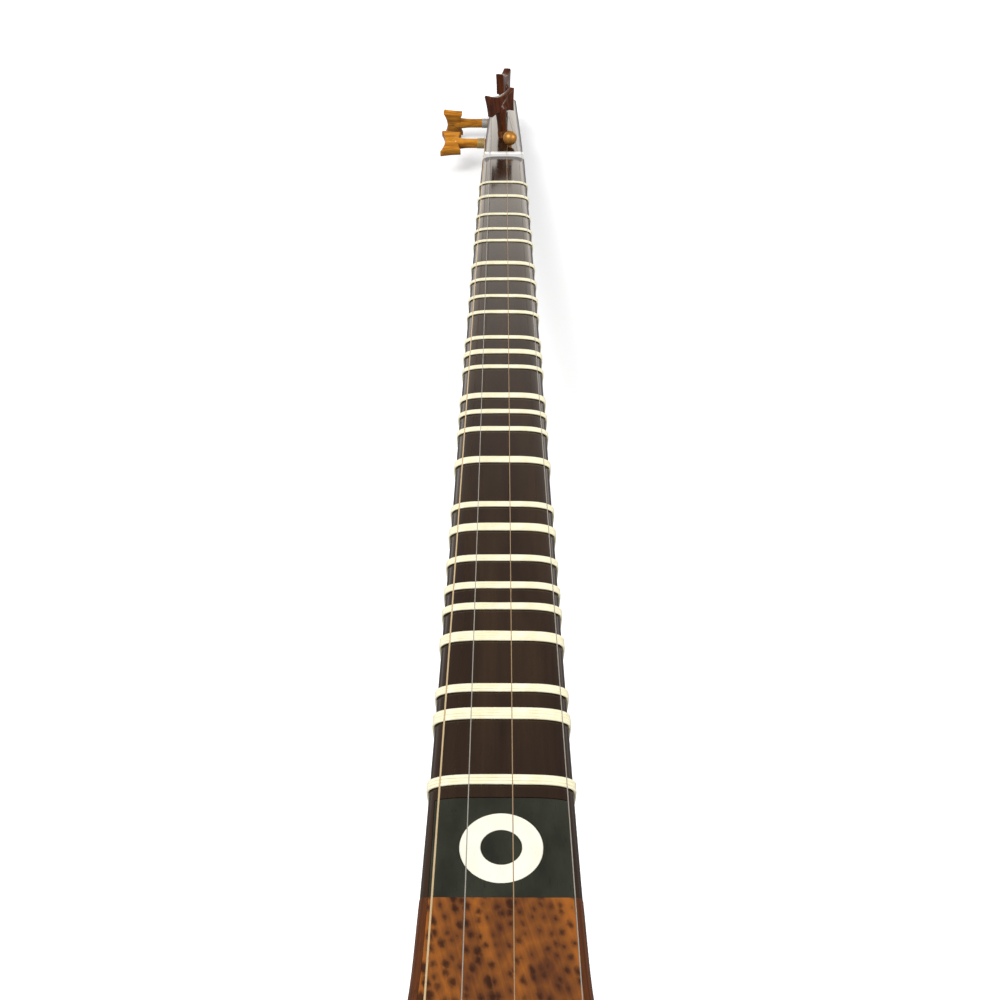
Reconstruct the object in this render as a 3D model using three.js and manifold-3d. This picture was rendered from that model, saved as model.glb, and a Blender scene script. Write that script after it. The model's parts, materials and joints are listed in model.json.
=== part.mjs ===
// A setar: a slim long-necked lute with a bowl built of staves, a wooden soundboard, four strings,
// tied gut frets and four friction pegs, lying on its back as it does on a table.
// Lengths are in millimetres. The instrument is drawn with its nut at y = 0, the head towards +Y,
// the body towards -Y, the treble side at +X and the strings above the face, towards +Z.
// At the end it is tipped until the bowl and the end of the head both touch the table.
import * as THREE from "three";
import { mergeVertices } from "three/addons/utils/BufferGeometryUtils.js";
import Module from "manifold-3d";

const wasm = await Module();
wasm.setup();

// Sizes of the whole instrument
const scale_length = 650;
const neck_run_share = 0.7317;
const neck_run = scale_length * neck_run_share;
const body_length = 240;
const head_length = 140;
const body_half_width = 78;
const body_depth = 124;

// Clearances
const seat_gap = 0.1;
const joint_gap = 0.3;
const stave_gap = 0.16;
const turning_clearance = 0.06;
const string_rest_gap = 0.05;
const cut_overrun = 6;
const merge_distance = 1e-4;

// Neck and head
const nut_width = 23.4;
const throat_width = 29.7;
const head_end_width = 17;
const nut_depth = 20;
const throat_depth = 24;
const head_end_depth = 17;
const edge_drop = 2.5;
const neck_taper_shares = [[0, 0], [0.33, 0.45], [0.59, 0.66], [0.81, 0.775], [0.94, 0.9], [1, 1]];
const head_taper_shares = [[0, 0], [0.04, 0.11], [0.37, 0.39], [0.633, 0.655], [1, 1]];
const squareness_shares = [[0, 0], [0.37, 1], [1, 1]];
const face_outline_shares = [
  [-1, 1], [-0.92, 0.42], [-0.72, 0.14], [0, 0], [0.72, 0.14], [0.92, 0.42], [1, 1],
];
const back_segments = 8;
const square_back_power_share = 0.55;
const tenon_width = 10;
const tenon_height = 12;
const tenon_length = 14;
const tenon_drop = 11;

// Throat plate and its ring
const plate_length_share = 0.0348;
const plate_length = scale_length * plate_length_share;
const plate_width = 26.3;
const plate_thickness = 1.5;
const ring_outer_radius = 7.9;
const ring_inner_radius = 3.92;
const ring_thickness = 0.8;
const ring_sides = 28;
const ring_place_share = 0.48;

// Nut
const nut_thickness = 4;
const nut_height = 1.7;
const nut_sink = 1.5;
const nut_end_inset = 0.25;
const nut_corner_round = 0.9;
const curve_segments = 6;

// Bowl
const stave_count = 9;
const stave_strips = 3;
const stave_wall = 3;
const bowl_stations = 20;
const bowl_outline_shares = [
  [0, 0.19, 0.194], [0.08, 0.199, 0.235], [0.17, 0.245, 0.34], [0.28, 0.39, 0.53], [0.4, 0.62, 0.75],
  [0.52, 0.845, 0.915], [0.63, 0.97, 0.99], [0.73, 1, 1], [0.82, 0.955, 0.935], [0.895, 0.83, 0.8],
  [0.95, 0.645, 0.615], [0.982, 0.42, 0.4], [1, 0.14, 0.14],
];
const slope_step_share = 5e-4;
const search_steps = 30;
const heel_block_end_share = 0.2;
const tail_block_start_share = 0.9;
const block_segments = 10;
const block_stations = 4;

// Soundboard and its brace
const board_thickness = 2;
const rim_width = 1.7;
const hole_radius = 1.5;
const hole_spacing = 6;
const hole_sides = 8;
const holes_round_centre = 6;
const hole_group_across = 30;
const hole_group_place_share = 0.52;
const throat_hole_group_place_share = 0.29;
const brace_place_share = 0.61;
const brace_width = 7;
const brace_height = 7;
const brace_belly_share = 0.85;
const brace_end_gap = 1;

// Bridge, tail and string holder
const bridge_height = 10;
const bridge_thickness = 3.5;
const bridge_half_length = 27;
const bridge_top_half_length = 16.5;
const bridge_foot_height = 2.6;
const bridge_arch_half_width = 17;
const bridge_arch_height = 5;
const tail_cap_width = 24;
const tail_cap_height = 19;
const tail_cap_thickness = 3.5;
const saddle_width = 20;
const saddle_height = 1.6;
const saddle_on_board = 3.5;
const holder_width = 20;
const holder_height = 9;
const holder_reach = 6;
const holder_slot_width = 1.4;
const holder_slot_depth = 5;
const holder_drop = 4;

// Strings, from the bass side: their diameter, and their places across the holder, bridge and nut
const string_sizes = {
  bam: { diameter: 0.35, at_holder: -6.6, at_bridge: -12.2, at_nut: -10.7 },
  zang: { diameter: 0.2, at_holder: -2.2, at_bridge: -5.7, at_nut: -7.5 },
  sol: { diameter: 0.2, at_holder: 2.2, at_bridge: 2.2, at_nut: 1.95 },
  do: { diameter: 0.2, at_holder: 6.6, at_bridge: 13.5, at_nut: 10.2 },
};
const string_sides = 8;
const string_end_inset = 0.4;
const saddle_bend = 0.6;
const string_finish = { bam: "brass", zang: "steel", sol: "brass", do: "steel" };

// The long side string bends over the rounded edge of the head just before it reaches its peg.
// Each row is a share of the way to the peg, of the half width there and of the edge's drop.
const edge_crossing_shares = [[0.86, 0.85, 0.14], [0.93, 1, 0.8]];
const edge_crossing_gap = 0.5;

// Pegs
const peg_stem_radius = 2.75;
const peg_tip_radius = 2.3;
const peg_flare_radius = 3.6;
const peg_flare_length = 5;
const peg_grip_height = 12.4;
const peg_grip_reach = 10.2;
const peg_grip_thickness = 4.6;
const peg_grip_bevel = 0.7;
const peg_grip_segments = 4;
const peg_sides = 16;
const side_peg_drop = 10;
const side_peg_tip_inset = 1;
const front_peg_tip_reach = 1.5;
const peg_sizes = {
  front_lower: {
    front: true, string: "sol", place_share: 0.257, across: -0.1, lean: 5, stem_length: 14.5, grip_turn: 43,
  },
  front_upper: {
    front: true, string: "do", place_share: 0.693, across: 0, lean: 0, stem_length: 13.5, grip_turn: 75,
  },
  side_lower: {
    front: false, string: "bam", place_share: 0.464, across: 0, lean: 0, stem_length: 16, grip_turn: 68,
  },
  side_upper: {
    front: false, string: "zang", place_share: 0.814, across: 0, lean: 0, stem_length: 17.7, grip_turn: -30,
  },
};

// Outline of one wing of the grip, as shares of its reach and height: the root beside the stem, the
// underside, the lower tip, the hollow outer edge, the upper tip and the dip between the wings
const grip_shares = {
  root: [0.3, 0.1],
  underside: [0.55, 0.1],
  lower_tip: [0.84, 0],
  outer_edge: [0.86, 0.5],
  upper_tip: [1, 1],
  dip: [0, 0.58],
};

// String windings on the pegs
const winding_turns = 5;
const winding_steps = 12;
const winding_sides = 3;
const winding_start = 1.4;
const winding_space = 0.5;
const winding_seat_gap = 0.15;

// Ball-headed pin that holds the sol string down behind the nut
const pin_ball_radius = 3.95;
const pin_neck_radius = 1;
const pin_across = 3.75;
const pin_place_share = 0.15;
const pin_from_nut = head_length * pin_place_share;
const pin_ball_rise = 4.6;
const pin_length = 9;
const pin_sides = 14;
const pin_side_gap = 0.12;

// Gut frets
const gut_diameter = 0.5;
const gut_space = 0.45;
const gut_sides = 3;
const gut_seat_gap = 0.2;
const octave_cents = 1200;
const wide_fret_turns = 4;
const narrow_fret_turns = 3;
const fret_cents = [
  134, 202, 288, 355, 407, 503, 570, 637, 699, 794, 845, 899, 997, 1050, 1106, 1202, 1335, 1400, 1486,
  1559, 1614, 1690, 1817, 1878, 2029,
];
const wide_fret_cents = [202, 503, 845, 997, 1202, 1400, 1690, 1878];

// Finishes
const finishes = {
  neck_wood: { color: 0x35221c, roughness: 0.15, metalness: 0 },
  bowl_wood: { color: 0x7a4526, roughness: 0.35, metalness: 0 },
  bowl_wood_light: { color: 0x9a5d31, roughness: 0.35, metalness: 0 },
  board_wood: { color: 0x96603a, roughness: 0.45, metalness: 0 },
  inner_wood: { color: 0xb08a5c, roughness: 0.8, metalness: 0 },
  throat_ebony: { color: 0x262b25, roughness: 0.4, metalness: 0 },
  bone: { color: 0xf2ecd4, roughness: 0.35, metalness: 0 },
  gut: { color: 0xf0ecc4, roughness: 0.5, metalness: 0 },
  amber_wood: { color: 0xcc8422, roughness: 0.2, metalness: 0 },
  dark_peg_wood: { color: 0x4a1c0a, roughness: 0.3, metalness: 0 },
  steel: { color: 0xc9c9c4, roughness: 0.3, metalness: 1 },
  brass: { color: 0xd2a34c, roughness: 0.25, metalness: 1 },
};

// Reads a table of [place, value] rows between its rows.
function readTable(table, place) {
  const next = Math.min(Math.max(table.findIndex((row) => row[0] >= place), 1), table.length - 1);
  const [a, b] = [table[next - 1], table[next]];
  return a[1] + ((b[1] - a[1]) * (place - a[0])) / (b[0] - a[0]);
}

function mix(a, b, share) {
  return a + (b - a) * share;
}

// Turns an indexed list of corners and triangles into a geometry whose faces point out.
function closedGeometry(corners, triangles) {
  const flat = corners.flatMap((p) => [p.x, p.y, p.z]);
  const volume = triangles.reduce((sum, [a, b, c]) => {
    const side = new THREE.Vector3().crossVectors(corners[a], corners[b]);
    return sum + side.dot(corners[c]);
  }, 0);
  const outward = volume > 0 ? triangles : triangles.map(([a, b, c]) => [a, c, b]);
  const geometry = new THREE.BufferGeometry();
  geometry.setAttribute("position", new THREE.Float32BufferAttribute(flat, 3));
  geometry.setIndex(outward.flat());
  geometry.computeVertexNormals();
  return geometry;
}

// Joins rings of corners, one after another, and closes both ends.
function loft(rings) {
  const count = rings[0].length;
  const triangles = [];
  for (let i = 0; i + 1 < rings.length; i++) {
    for (let j = 0; j < count; j++) {
      const a = i * count + j;
      const b = i * count + ((j + 1) % count);
      triangles.push([a, b, b + count], [a, b + count, a + count]);
    }
  }
  const last = (rings.length - 1) * count;
  for (let j = 1; j + 1 < count; j++) {
    triangles.push([0, j + 1, j], [last, last + j, last + j + 1]);
  }
  return closedGeometry(rings.flat(), triangles);
}

// Closes the space between an outer and an inner grid of corners, as a bent board.
function bentBoard(outer, inner) {
  const rows = outer.length;
  const columns = outer[0].length;
  const at = (layer, i, j) => layer * rows * columns + i * columns + j;
  const triangles = [];
  const quad = (a, b, c, d) => triangles.push([a, b, c], [a, c, d]);
  for (let i = 0; i + 1 < rows; i++) {
    for (let j = 0; j + 1 < columns; j++) {
      quad(at(0, i, j), at(0, i, j + 1), at(0, i + 1, j + 1), at(0, i + 1, j));
      quad(at(1, i, j), at(1, i + 1, j), at(1, i + 1, j + 1), at(1, i, j + 1));
    }
    const end = columns - 1;
    quad(at(0, i, 0), at(0, i + 1, 0), at(1, i + 1, 0), at(1, i, 0));
    quad(at(0, i, end), at(1, i, end), at(1, i + 1, end), at(0, i + 1, end));
  }
  for (let j = 0; j + 1 < columns; j++) {
    quad(at(0, 0, j), at(1, 0, j), at(1, 0, j + 1), at(0, 0, j + 1));
    quad(at(0, rows - 1, j), at(0, rows - 1, j + 1), at(1, rows - 1, j + 1), at(1, rows - 1, j));
  }
  return closedGeometry([...outer.flat(), ...inner.flat()], triangles);
}

// A round wire along a path. Its section is turned to a fixed direction that the path never follows.
function wire(path, radius, sides, across) {
  const rings = path.map((point, i) => {
    const before = path[Math.max(i - 1, 0)];
    const after = path[Math.min(i + 1, path.length - 1)];
    const along = new THREE.Vector3().subVectors(after, before).normalize();
    const first = new THREE.Vector3().crossVectors(across, along).normalize();
    const second = new THREE.Vector3().crossVectors(along, first);
    return Array.from({ length: sides }, (_, k) => {
      const turn = (2 * Math.PI * k) / sides;
      return point
        .clone()
        .addScaledVector(first, radius * Math.cos(turn))
        .addScaledVector(second, radius * Math.sin(turn));
    });
  });
  return loft(rings);
}

// The least space between turns of a wound wire, measured between points a turn or so apart.
function leastSpace(path, steps_per_turn, diameter) {
  let least = Infinity;
  for (let i = 0; i < path.length; i++) {
    for (let j = i + Math.ceil(steps_per_turn / 2); j < path.length; j++) {
      least = Math.min(least, path[i].distanceTo(path[j]) - diameter);
    }
  }
  return least;
}

function solidOf(geometry) {
  const bare = geometry.clone();
  bare.deleteAttribute("normal");
  bare.deleteAttribute("uv");
  const merged = mergeVertices(bare, merge_distance);
  return new wasm.Manifold(
    new wasm.Mesh({
      numProp: 3,
      vertProperties: new Float32Array(merged.attributes.position.array),
      triVerts: new Uint32Array(merged.index.array),
    }),
  );
}

function geometryOf(solid) {
  const mesh = solid.getMesh();
  const geometry = new THREE.BufferGeometry();
  geometry.setAttribute("position", new THREE.BufferAttribute(mesh.vertProperties, 3));
  geometry.setIndex(new THREE.BufferAttribute(mesh.triVerts, 1));
  geometry.computeVertexNormals();
  return geometry;
}

function cut(geometry, ...tools) {
  return geometryOf(tools.reduce((solid, tool) => solid.subtract(solidOf(tool)), solidOf(geometry)));
}

function join(...pieces) {
  return geometryOf(pieces.map(solidOf).reduce((whole, piece) => whole.add(piece)));
}

// A box from its lowest to its highest corner.
function boxBetween([x0, y0, z0], [x1, y1, z1]) {
  const box = new THREE.BoxGeometry(x1 - x0, y1 - y0, z1 - z0);
  return box.translate((x0 + x1) / 2, (y0 + y1) / 2, (z0 + z1) / 2);
}

// A turned piece about the Z axis, from a profile of [radius, height] points that starts and ends on it.
function turned(profile, sides) {
  const lathe = new THREE.LatheGeometry(profile.map(([r, z]) => new THREE.Vector2(r, z)), sides);
  return lathe.rotateX(Math.PI / 2);
}

function shapeOf(points) {
  return new THREE.Shape(points.map(([x, y]) => new THREE.Vector2(x, y)));
}

// A flat shape drawn across and up, given a thickness along the neck from one place to another.
function standingPlate(shape, from_y, to_y) {
  const plate = new THREE.ExtrudeGeometry(shape, {
    depth: to_y - from_y,
    bevelEnabled: false,
    curveSegments: curve_segments,
  });
  return plate.rotateX(Math.PI / 2).translate(0, to_y, 0);
}

const instrument = new THREE.Group();

function addPiece(name, geometry, finish, parent = instrument) {
  const mesh = new THREE.Mesh(geometry, new THREE.MeshStandardMaterial(finishes[finish]));
  mesh.name = name;
  parent.add(mesh);
  return mesh;
}

// Outline of the neck and the head
function neckWidth(y) {
  if (y > 0) return mix(nut_width, head_end_width, readTable(head_taper_shares, y / head_length));
  return mix(nut_width, throat_width, readTable(neck_taper_shares, -y / neck_run));
}

function neckDepth(y) {
  if (y > 0) return mix(nut_depth, head_end_depth, y / head_length);
  return mix(nut_depth, throat_depth, -y / neck_run);
}

// The closed section of the neck: a nearly flat face with rounded edges, and a round or squarer back.
function neckSection(y, grow = 0) {
  const half = neckWidth(y) / 2;
  const depth = neckDepth(y);
  const squareness = y > 0 ? readTable(squareness_shares, y / head_length) : 0;
  const points = face_outline_shares.map(([across, drop]) => [across * half, -drop * edge_drop]);
  for (let i = 1; i < back_segments; i++) {
    const turn = (Math.PI * i) / back_segments;
    const power = mix(1, square_back_power_share, squareness);
    const across = Math.sign(Math.cos(turn)) * Math.abs(Math.cos(turn)) ** power;
    points.push([across * half, -edge_drop - (depth - edge_drop) * Math.sin(turn) ** power]);
  }
  return grow ? growOutline(points, grow) : points;
}

// Moves each side of a closed outline outwards by the same distance.
function growOutline(points, distance) {
  const area = points.reduce((sum, [x, z], i) => {
    const [nx, nz] = points[(i + 1) % points.length];
    return sum + x * nz - nx * z;
  }, 0);
  const outward = Math.sign(area);
  return points.map((point, i) => {
    const before = new THREE.Vector2(...points[(i + points.length - 1) % points.length]);
    const here = new THREE.Vector2(...point);
    const after = new THREE.Vector2(...points[(i + 1) % points.length]);
    const first = here.clone().sub(before).normalize();
    const second = after.clone().sub(here).normalize();
    const normals = [first, second].map((d) => new THREE.Vector2(d.y, -d.x).multiplyScalar(outward));
    const middle = normals[0].clone().add(normals[1]).normalize();
    const reach = distance / middle.dot(normals[0]);
    return [here.x + middle.x * reach, here.y + middle.y * reach];
  });
}

// Outline of the bowl, as a smooth curve through the rows of its table
const outline_curve = new THREE.CatmullRomCurve3(
  bowl_outline_shares.map((row) => new THREE.Vector3(...row)),
  false,
  "centripetal",
);
const bowl_start = -neck_run - joint_gap;

// The distance from the nut to a place on the body, given as a share of the body's length.
function fromNut(place_share) {
  return neck_run + body_length * place_share;
}

// A point of the bowl's outside. The turn goes from the treble rim, under the bowl, to the bass rim.
function bowlSurface(place, turn) {
  const { x, y, z } = outline_curve.getPoint(Math.min(Math.max(place, 0), 1));
  return new THREE.Vector3(
    y * body_half_width * Math.cos(turn),
    bowl_start - x * body_length,
    -z * body_depth * Math.sin(turn),
  );
}

// A point of the bowl's outside, moved inwards square to the surface.
function bowlPoint(place, turn, inset = 0) {
  const step = slope_step_share;
  const here = bowlSurface(place, turn);
  const along = bowlSurface(place + step, turn).sub(bowlSurface(place - step, turn));
  const around = bowlSurface(place, turn + step).sub(bowlSurface(place, turn - step));
  const inward = new THREE.Vector3().crossVectors(along, around).normalize();
  const spine = new THREE.Vector3(0, here.y, 0).sub(here);
  if (inward.dot(spine) < 0) inward.negate();
  return here.addScaledVector(inward, inset);
}

// The angle round the bowl that a short distance takes.
function turnFor(place, turn, distance) {
  const step = slope_step_share;
  const length = bowlSurface(place, turn + step).distanceTo(bowlSurface(place, turn - step));
  return (distance * 2 * step) / length;
}

function staveGeometry(index) {
  const layer = (inset) =>
    Array.from({ length: bowl_stations + 1 }, (_, i) => {
      const place = i / bowl_stations;
      const first = (Math.PI * index) / stave_count;
      const last = (Math.PI * (index + 1)) / stave_count;
      const from = index === 0 ? first : first + turnFor(place, first, stave_gap / 2);
      const to = index === stave_count - 1 ? last : last - turnFor(place, last, stave_gap / 2);
      return Array.from({ length: stave_strips + 1 }, (_, j) =>
        bowlPoint(place, mix(from, to, j / stave_strips), inset),
      );
    });
  return bentBoard(layer(0), layer(stave_wall));
}

// The rim line of the bowl moved inwards, down the treble side and back up the bass side.
function rimOutline(inset) {
  const side = Array.from({ length: bowl_stations + 1 }, (_, i) => {
    const point = bowlPoint(i / bowl_stations, 0, inset);
    return [point.x, Math.min(point.y, bowl_start)];
  });
  return [...side, ...side.map(([x, y]) => [-x, y]).reverse()];
}

// A block that fills the bowl's inside between two places, up to the underside of the soundboard.
function blockGeometry(from, to) {
  const rings = Array.from({ length: block_stations + 1 }, (_, i) =>
    Array.from({ length: block_segments + 1 }, (_, j) =>
      bowlPoint(mix(from, to, i / block_stations), (Math.PI * j) / block_segments, stave_wall + joint_gap),
    ),
  );
  const above = boxBetween(
    [-body_half_width, bowl_start - body_length, -board_thickness - seat_gap],
    [body_half_width, bowl_start + cut_overrun, cut_overrun],
  );
  return cut(loft(rings), above);
}

// The place along the outline curve that lies a given share of the way down the body.
function placeAt(share) {
  let [low, high] = [0, 1];
  for (let i = 0; i < search_steps; i++) {
    const middle = (low + high) / 2;
    if (outline_curve.getPoint(middle).x < share) low = middle;
    else high = middle;
  }
  return low;
}

// Half the clear width inside the bowl, at a distance from the nut and a depth below the rim.
function insideHalf(from_nut, depth) {
  const place = placeAt((from_nut - neck_run) / body_length);
  const inside_depth = -bowlPoint(place, Math.PI / 2, stave_wall).z;
  const inside_half = bowlPoint(place, 0, stave_wall).x;
  return inside_half * Math.sqrt(1 - (depth / inside_depth) ** 2) - brace_end_gap;
}

// Pegs: how far from the nut each stands on the head, and the frame that it turns in
function pegPlace(size) {
  return head_length * size.place_share;
}

function pegFrame(size) {
  const frame = new THREE.Group();
  const lean = THREE.MathUtils.degToRad(size.lean);
  if (size.front) {
    frame.position.set(size.across, pegPlace(size), 0);
    frame.rotation.y = -lean;
  } else {
    frame.position.set(-neckWidth(pegPlace(size)) / 2, pegPlace(size), -side_peg_drop);
    frame.rotation.y = -Math.PI / 2;
  }
  return frame;
}

function pegShank(size) {
  if (size.front) return neckDepth(pegPlace(size)) + front_peg_tip_reach;
  return neckWidth(pegPlace(size)) - side_peg_tip_inset;
}

// The grip is a flat bow-tie across the end of the stem, hollowed along its edges.
function pegGrip(stem_length) {
  const place = (name, side) => {
    const [out, up] = grip_shares[name];
    return [side * peg_grip_reach * out, stem_length + peg_grip_height * up];
  };
  const shape = new THREE.Shape();
  shape.moveTo(...place("root", 1));
  shape.quadraticCurveTo(...place("underside", 1), ...place("lower_tip", 1));
  shape.quadraticCurveTo(...place("outer_edge", 1), ...place("upper_tip", 1));
  shape.quadraticCurveTo(...place("dip", 1), ...place("upper_tip", -1));
  shape.quadraticCurveTo(...place("outer_edge", -1), ...place("lower_tip", -1));
  shape.quadraticCurveTo(...place("underside", -1), ...place("root", -1));
  const flat = new THREE.ExtrudeGeometry(shape, {
    depth: peg_grip_thickness - 2 * peg_grip_bevel,
    curveSegments: peg_grip_segments,
    bevelThickness: peg_grip_bevel,
    bevelSize: peg_grip_bevel,
    bevelOffset: -peg_grip_bevel,
    bevelSegments: 1,
  });
  return flat.translate(0, 0, peg_grip_bevel - peg_grip_thickness / 2).rotateX(Math.PI / 2);
}

function pegStem(shank, stem_length) {
  const flare_start = stem_length - peg_flare_length;
  const top = stem_length + peg_grip_height / 2;
  return turned(
    [
      [0, -shank],
      [peg_tip_radius, -shank],
      [peg_stem_radius, 0],
      [peg_stem_radius, flare_start],
      [peg_flare_radius, stem_length + peg_grip_height / 4],
      [0, top],
    ],
    peg_sides,
  );
}

// The tapered hole that a peg turns in: wider than the peg by the clearance, all the way round.
function pegHole(shank) {
  const slope = (peg_stem_radius - peg_tip_radius) / shank;
  const corner_stretch = 1 / Math.cos(Math.PI / peg_sides);
  const bottom = -shank - cut_overrun;
  const top_radius = (peg_stem_radius + turning_clearance) * corner_stretch;
  const bottom_radius = (peg_stem_radius + slope * bottom + turning_clearance) * corner_stretch;
  return turned(
    [
      [0, bottom],
      [bottom_radius, bottom],
      [top_radius, 0],
      [top_radius, cut_overrun],
      [0, cut_overrun],
    ],
    peg_sides,
  );
}

function windingPath(diameter) {
  const radius = windingRadius(diameter);
  const pitch = diameter + winding_space;
  return Array.from({ length: winding_turns * winding_steps + 1 }, (_, i) => {
    const turn = (2 * Math.PI * i) / winding_steps;
    const height = winding_start + (pitch * i) / winding_steps;
    return new THREE.Vector3(radius * Math.cos(turn), radius * Math.sin(turn), height);
  });
}

function windingRadius(diameter) {
  return (peg_stem_radius + winding_seat_gap + diameter / 2) / Math.cos(Math.PI / winding_steps);
}

// Where a line from a point touches a circle, on the chosen side.
function tangentPoint(from, centre, radius, side) {
  const offset = from.clone().sub(centre);
  const distance = offset.length();
  const turn = side * Math.acos(radius / distance);
  return offset.rotateAround(new THREE.Vector2(0, 0), turn).multiplyScalar(radius / distance).add(centre);
}

// Neck and head
const neck_stations = [
  ...neck_taper_shares.map(([share]) => -share * neck_run).reverse(),
  ...head_taper_shares.slice(1).map(([share]) => share * head_length),
];
const neck_rings = neck_stations.map((y) => neckSection(y).map(([x, z]) => new THREE.Vector3(x, y, z)));
const plate_start = -neck_run + plate_length;
function tenonBox(grow) {
  return boxBetween(
    [-tenon_width / 2 - grow, -neck_run - tenon_length - grow, -tenon_drop - tenon_height / 2 - grow],
    [tenon_width / 2 + grow, -neck_run + cut_overrun, -tenon_drop + tenon_height / 2 + grow],
  );
}
const plate_pocket = boxBetween(
  [-plate_width / 2 - seat_gap, -neck_run - cut_overrun, -plate_thickness - seat_gap],
  [plate_width / 2 + seat_gap, plate_start + seat_gap, cut_overrun],
);
const nut_slot = boxBetween([-nut_width, 0, -nut_sink], [nut_width, nut_thickness, cut_overrun]);
const pin_hole_radius = (pin_neck_radius + seat_gap) / Math.cos(Math.PI / pin_sides);
const pin_foot = pin_ball_rise - pin_ball_radius - pin_length;
const pin_hole = turned(
  [
    [0, pin_foot - seat_gap],
    [pin_hole_radius, pin_foot - seat_gap],
    [pin_hole_radius, cut_overrun],
    [0, cut_overrun],
  ],
  pin_sides,
).translate(pin_across, pin_from_nut, 0);
const peg_holes = Object.values(peg_sizes).map((size) => {
  const frame = pegFrame(size);
  frame.updateMatrix();
  return pegHole(pegShank(size)).applyMatrix4(frame.matrix);
});
const neck_blank = join(loft(neck_rings), tenonBox(0));
addPiece("neck", cut(neck_blank, plate_pocket, nut_slot, pin_hole, ...peg_holes), "neck_wood");

// Throat plate, with a ring let into its face
const ring_centre_y = -neck_run + plate_length * ring_place_share;
function ringGeometry(outer, inner, bottom, top) {
  const profile = [[inner, bottom], [outer, bottom], [outer, top], [inner, top], [inner, bottom]];
  return turned(profile, ring_sides).translate(0, ring_centre_y, 0);
}
const plate_blank = boxBetween(
  [-plate_width / 2, -neck_run, -plate_thickness],
  [plate_width / 2, plate_start, 0],
);
const ring_pocket = ringGeometry(
  ring_outer_radius + seat_gap,
  ring_inner_radius - seat_gap,
  -ring_thickness - seat_gap,
  cut_overrun,
);
addPiece("throat_plate", cut(plate_blank, ring_pocket), "throat_ebony");
addPiece("ring_inlay", ringGeometry(ring_outer_radius, ring_inner_radius, -ring_thickness, 0), "bone");

// Nut, set in its slot across the neck
const nut_half = nut_width / 2 - nut_end_inset;
const nut_shape = new THREE.Shape();
nut_shape.moveTo(-nut_half, -nut_sink + seat_gap);
nut_shape.lineTo(nut_half, -nut_sink + seat_gap);
nut_shape.lineTo(nut_half, nut_height - nut_corner_round);
nut_shape.quadraticCurveTo(nut_half, nut_height, nut_half - nut_corner_round, nut_height);
nut_shape.lineTo(-nut_half + nut_corner_round, nut_height);
nut_shape.quadraticCurveTo(-nut_half, nut_height, -nut_half, nut_height - nut_corner_round);
addPiece("nut", standingPlate(nut_shape, seat_gap, nut_thickness - seat_gap), "bone");

// Ball-headed pin
const ball_arc = Array.from({ length: pin_sides / 2 }, (_, i) => {
  const turn = (Math.PI * (i + 1)) / (pin_sides / 2 + 1) - Math.PI / 2;
  return [pin_ball_radius * Math.cos(turn), pin_ball_rise + pin_ball_radius * Math.sin(turn)];
});
const pin_profile = [
  [0, pin_foot],
  [pin_neck_radius, pin_foot],
  [pin_neck_radius, pin_ball_rise - Math.sqrt(pin_ball_radius ** 2 - pin_neck_radius ** 2)],
  ...ball_arc,
  [0, pin_ball_rise + pin_ball_radius],
];
addPiece("string_pin", turned(pin_profile, pin_sides).translate(pin_across, pin_from_nut, 0), "brass");

// Bowl, of staves glued edge to edge. The two at the rim are cut back on the inside to seat the soundboard.
const board_seat = new THREE.ExtrudeGeometry(shapeOf(rimOutline(rim_width)), {
  depth: board_thickness + seat_gap + cut_overrun,
  bevelEnabled: false,
}).translate(0, 0, -board_thickness - seat_gap);
for (let index = 0; index < stave_count; index++) {
  const at_rim = index === 0 || index === stave_count - 1;
  const stave = staveGeometry(index);
  const finish = index % 2 ? "bowl_wood_light" : "bowl_wood";
  addPiece(`stave_${index + 1}`, at_rim ? cut(stave, board_seat) : stave, finish);
}

// Blocks inside the two ends of the bowl
const heel_block = cut(blockGeometry(0, placeAt(heel_block_end_share)), tenonBox(joint_gap));
addPiece("heel_block", heel_block, "inner_wood");
addPiece("tail_block", blockGeometry(placeAt(tail_block_start_share), 1), "inner_wood");

// Soundboard, pierced with groups of small round holes
function holeGroup(centre_x, centre_y) {
  const ring = Array.from({ length: holes_round_centre }, (_, i) => {
    const turn = (2 * Math.PI * i) / holes_round_centre;
    return [centre_x + hole_spacing * Math.cos(turn), centre_y + hole_spacing * Math.sin(turn)];
  });
  return [[centre_x, centre_y], ...ring];
}
const board_shape = shapeOf(rimOutline(rim_width + seat_gap));
const hole_centres = [
  ...holeGroup(-hole_group_across, -fromNut(hole_group_place_share)),
  ...holeGroup(hole_group_across, -fromNut(hole_group_place_share)),
  ...holeGroup(0, -fromNut(throat_hole_group_place_share)),
];
for (const [x, y] of hole_centres) {
  const rim = Array.from({ length: hole_sides }, (_, i) => {
    const turn = (2 * Math.PI * i) / hole_sides;
    return new THREE.Vector2(x + hole_radius * Math.cos(turn), y + hole_radius * Math.sin(turn));
  });
  board_shape.holes.push(new THREE.Path(rim));
}
const board = new THREE.ExtrudeGeometry(board_shape, { depth: board_thickness, bevelEnabled: false });
addPiece("soundboard", board.translate(0, 0, -board_thickness), "board_wood");

// Brace across the underside of the soundboard
const brace_top = -board_thickness - seat_gap;
const brace_y = -fromNut(brace_place_share);
const [brace_back, brace_front] = [brace_y - brace_width / 2, brace_y + brace_width / 2];
const brace_half = Math.min(
  insideHalf(-brace_back, brace_height - brace_top),
  insideHalf(-brace_front, brace_height - brace_top),
);
const brace_shape = shapeOf([
  [-brace_half, brace_top],
  [-brace_half, brace_top - brace_height / 2],
  [-brace_half * brace_belly_share, brace_top - brace_height],
  [brace_half * brace_belly_share, brace_top - brace_height],
  [brace_half, brace_top - brace_height / 2],
  [brace_half, brace_top],
]);
addPiece("cross_brace", standingPlate(brace_shape, brace_back, brace_front), "inner_wood");

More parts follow.
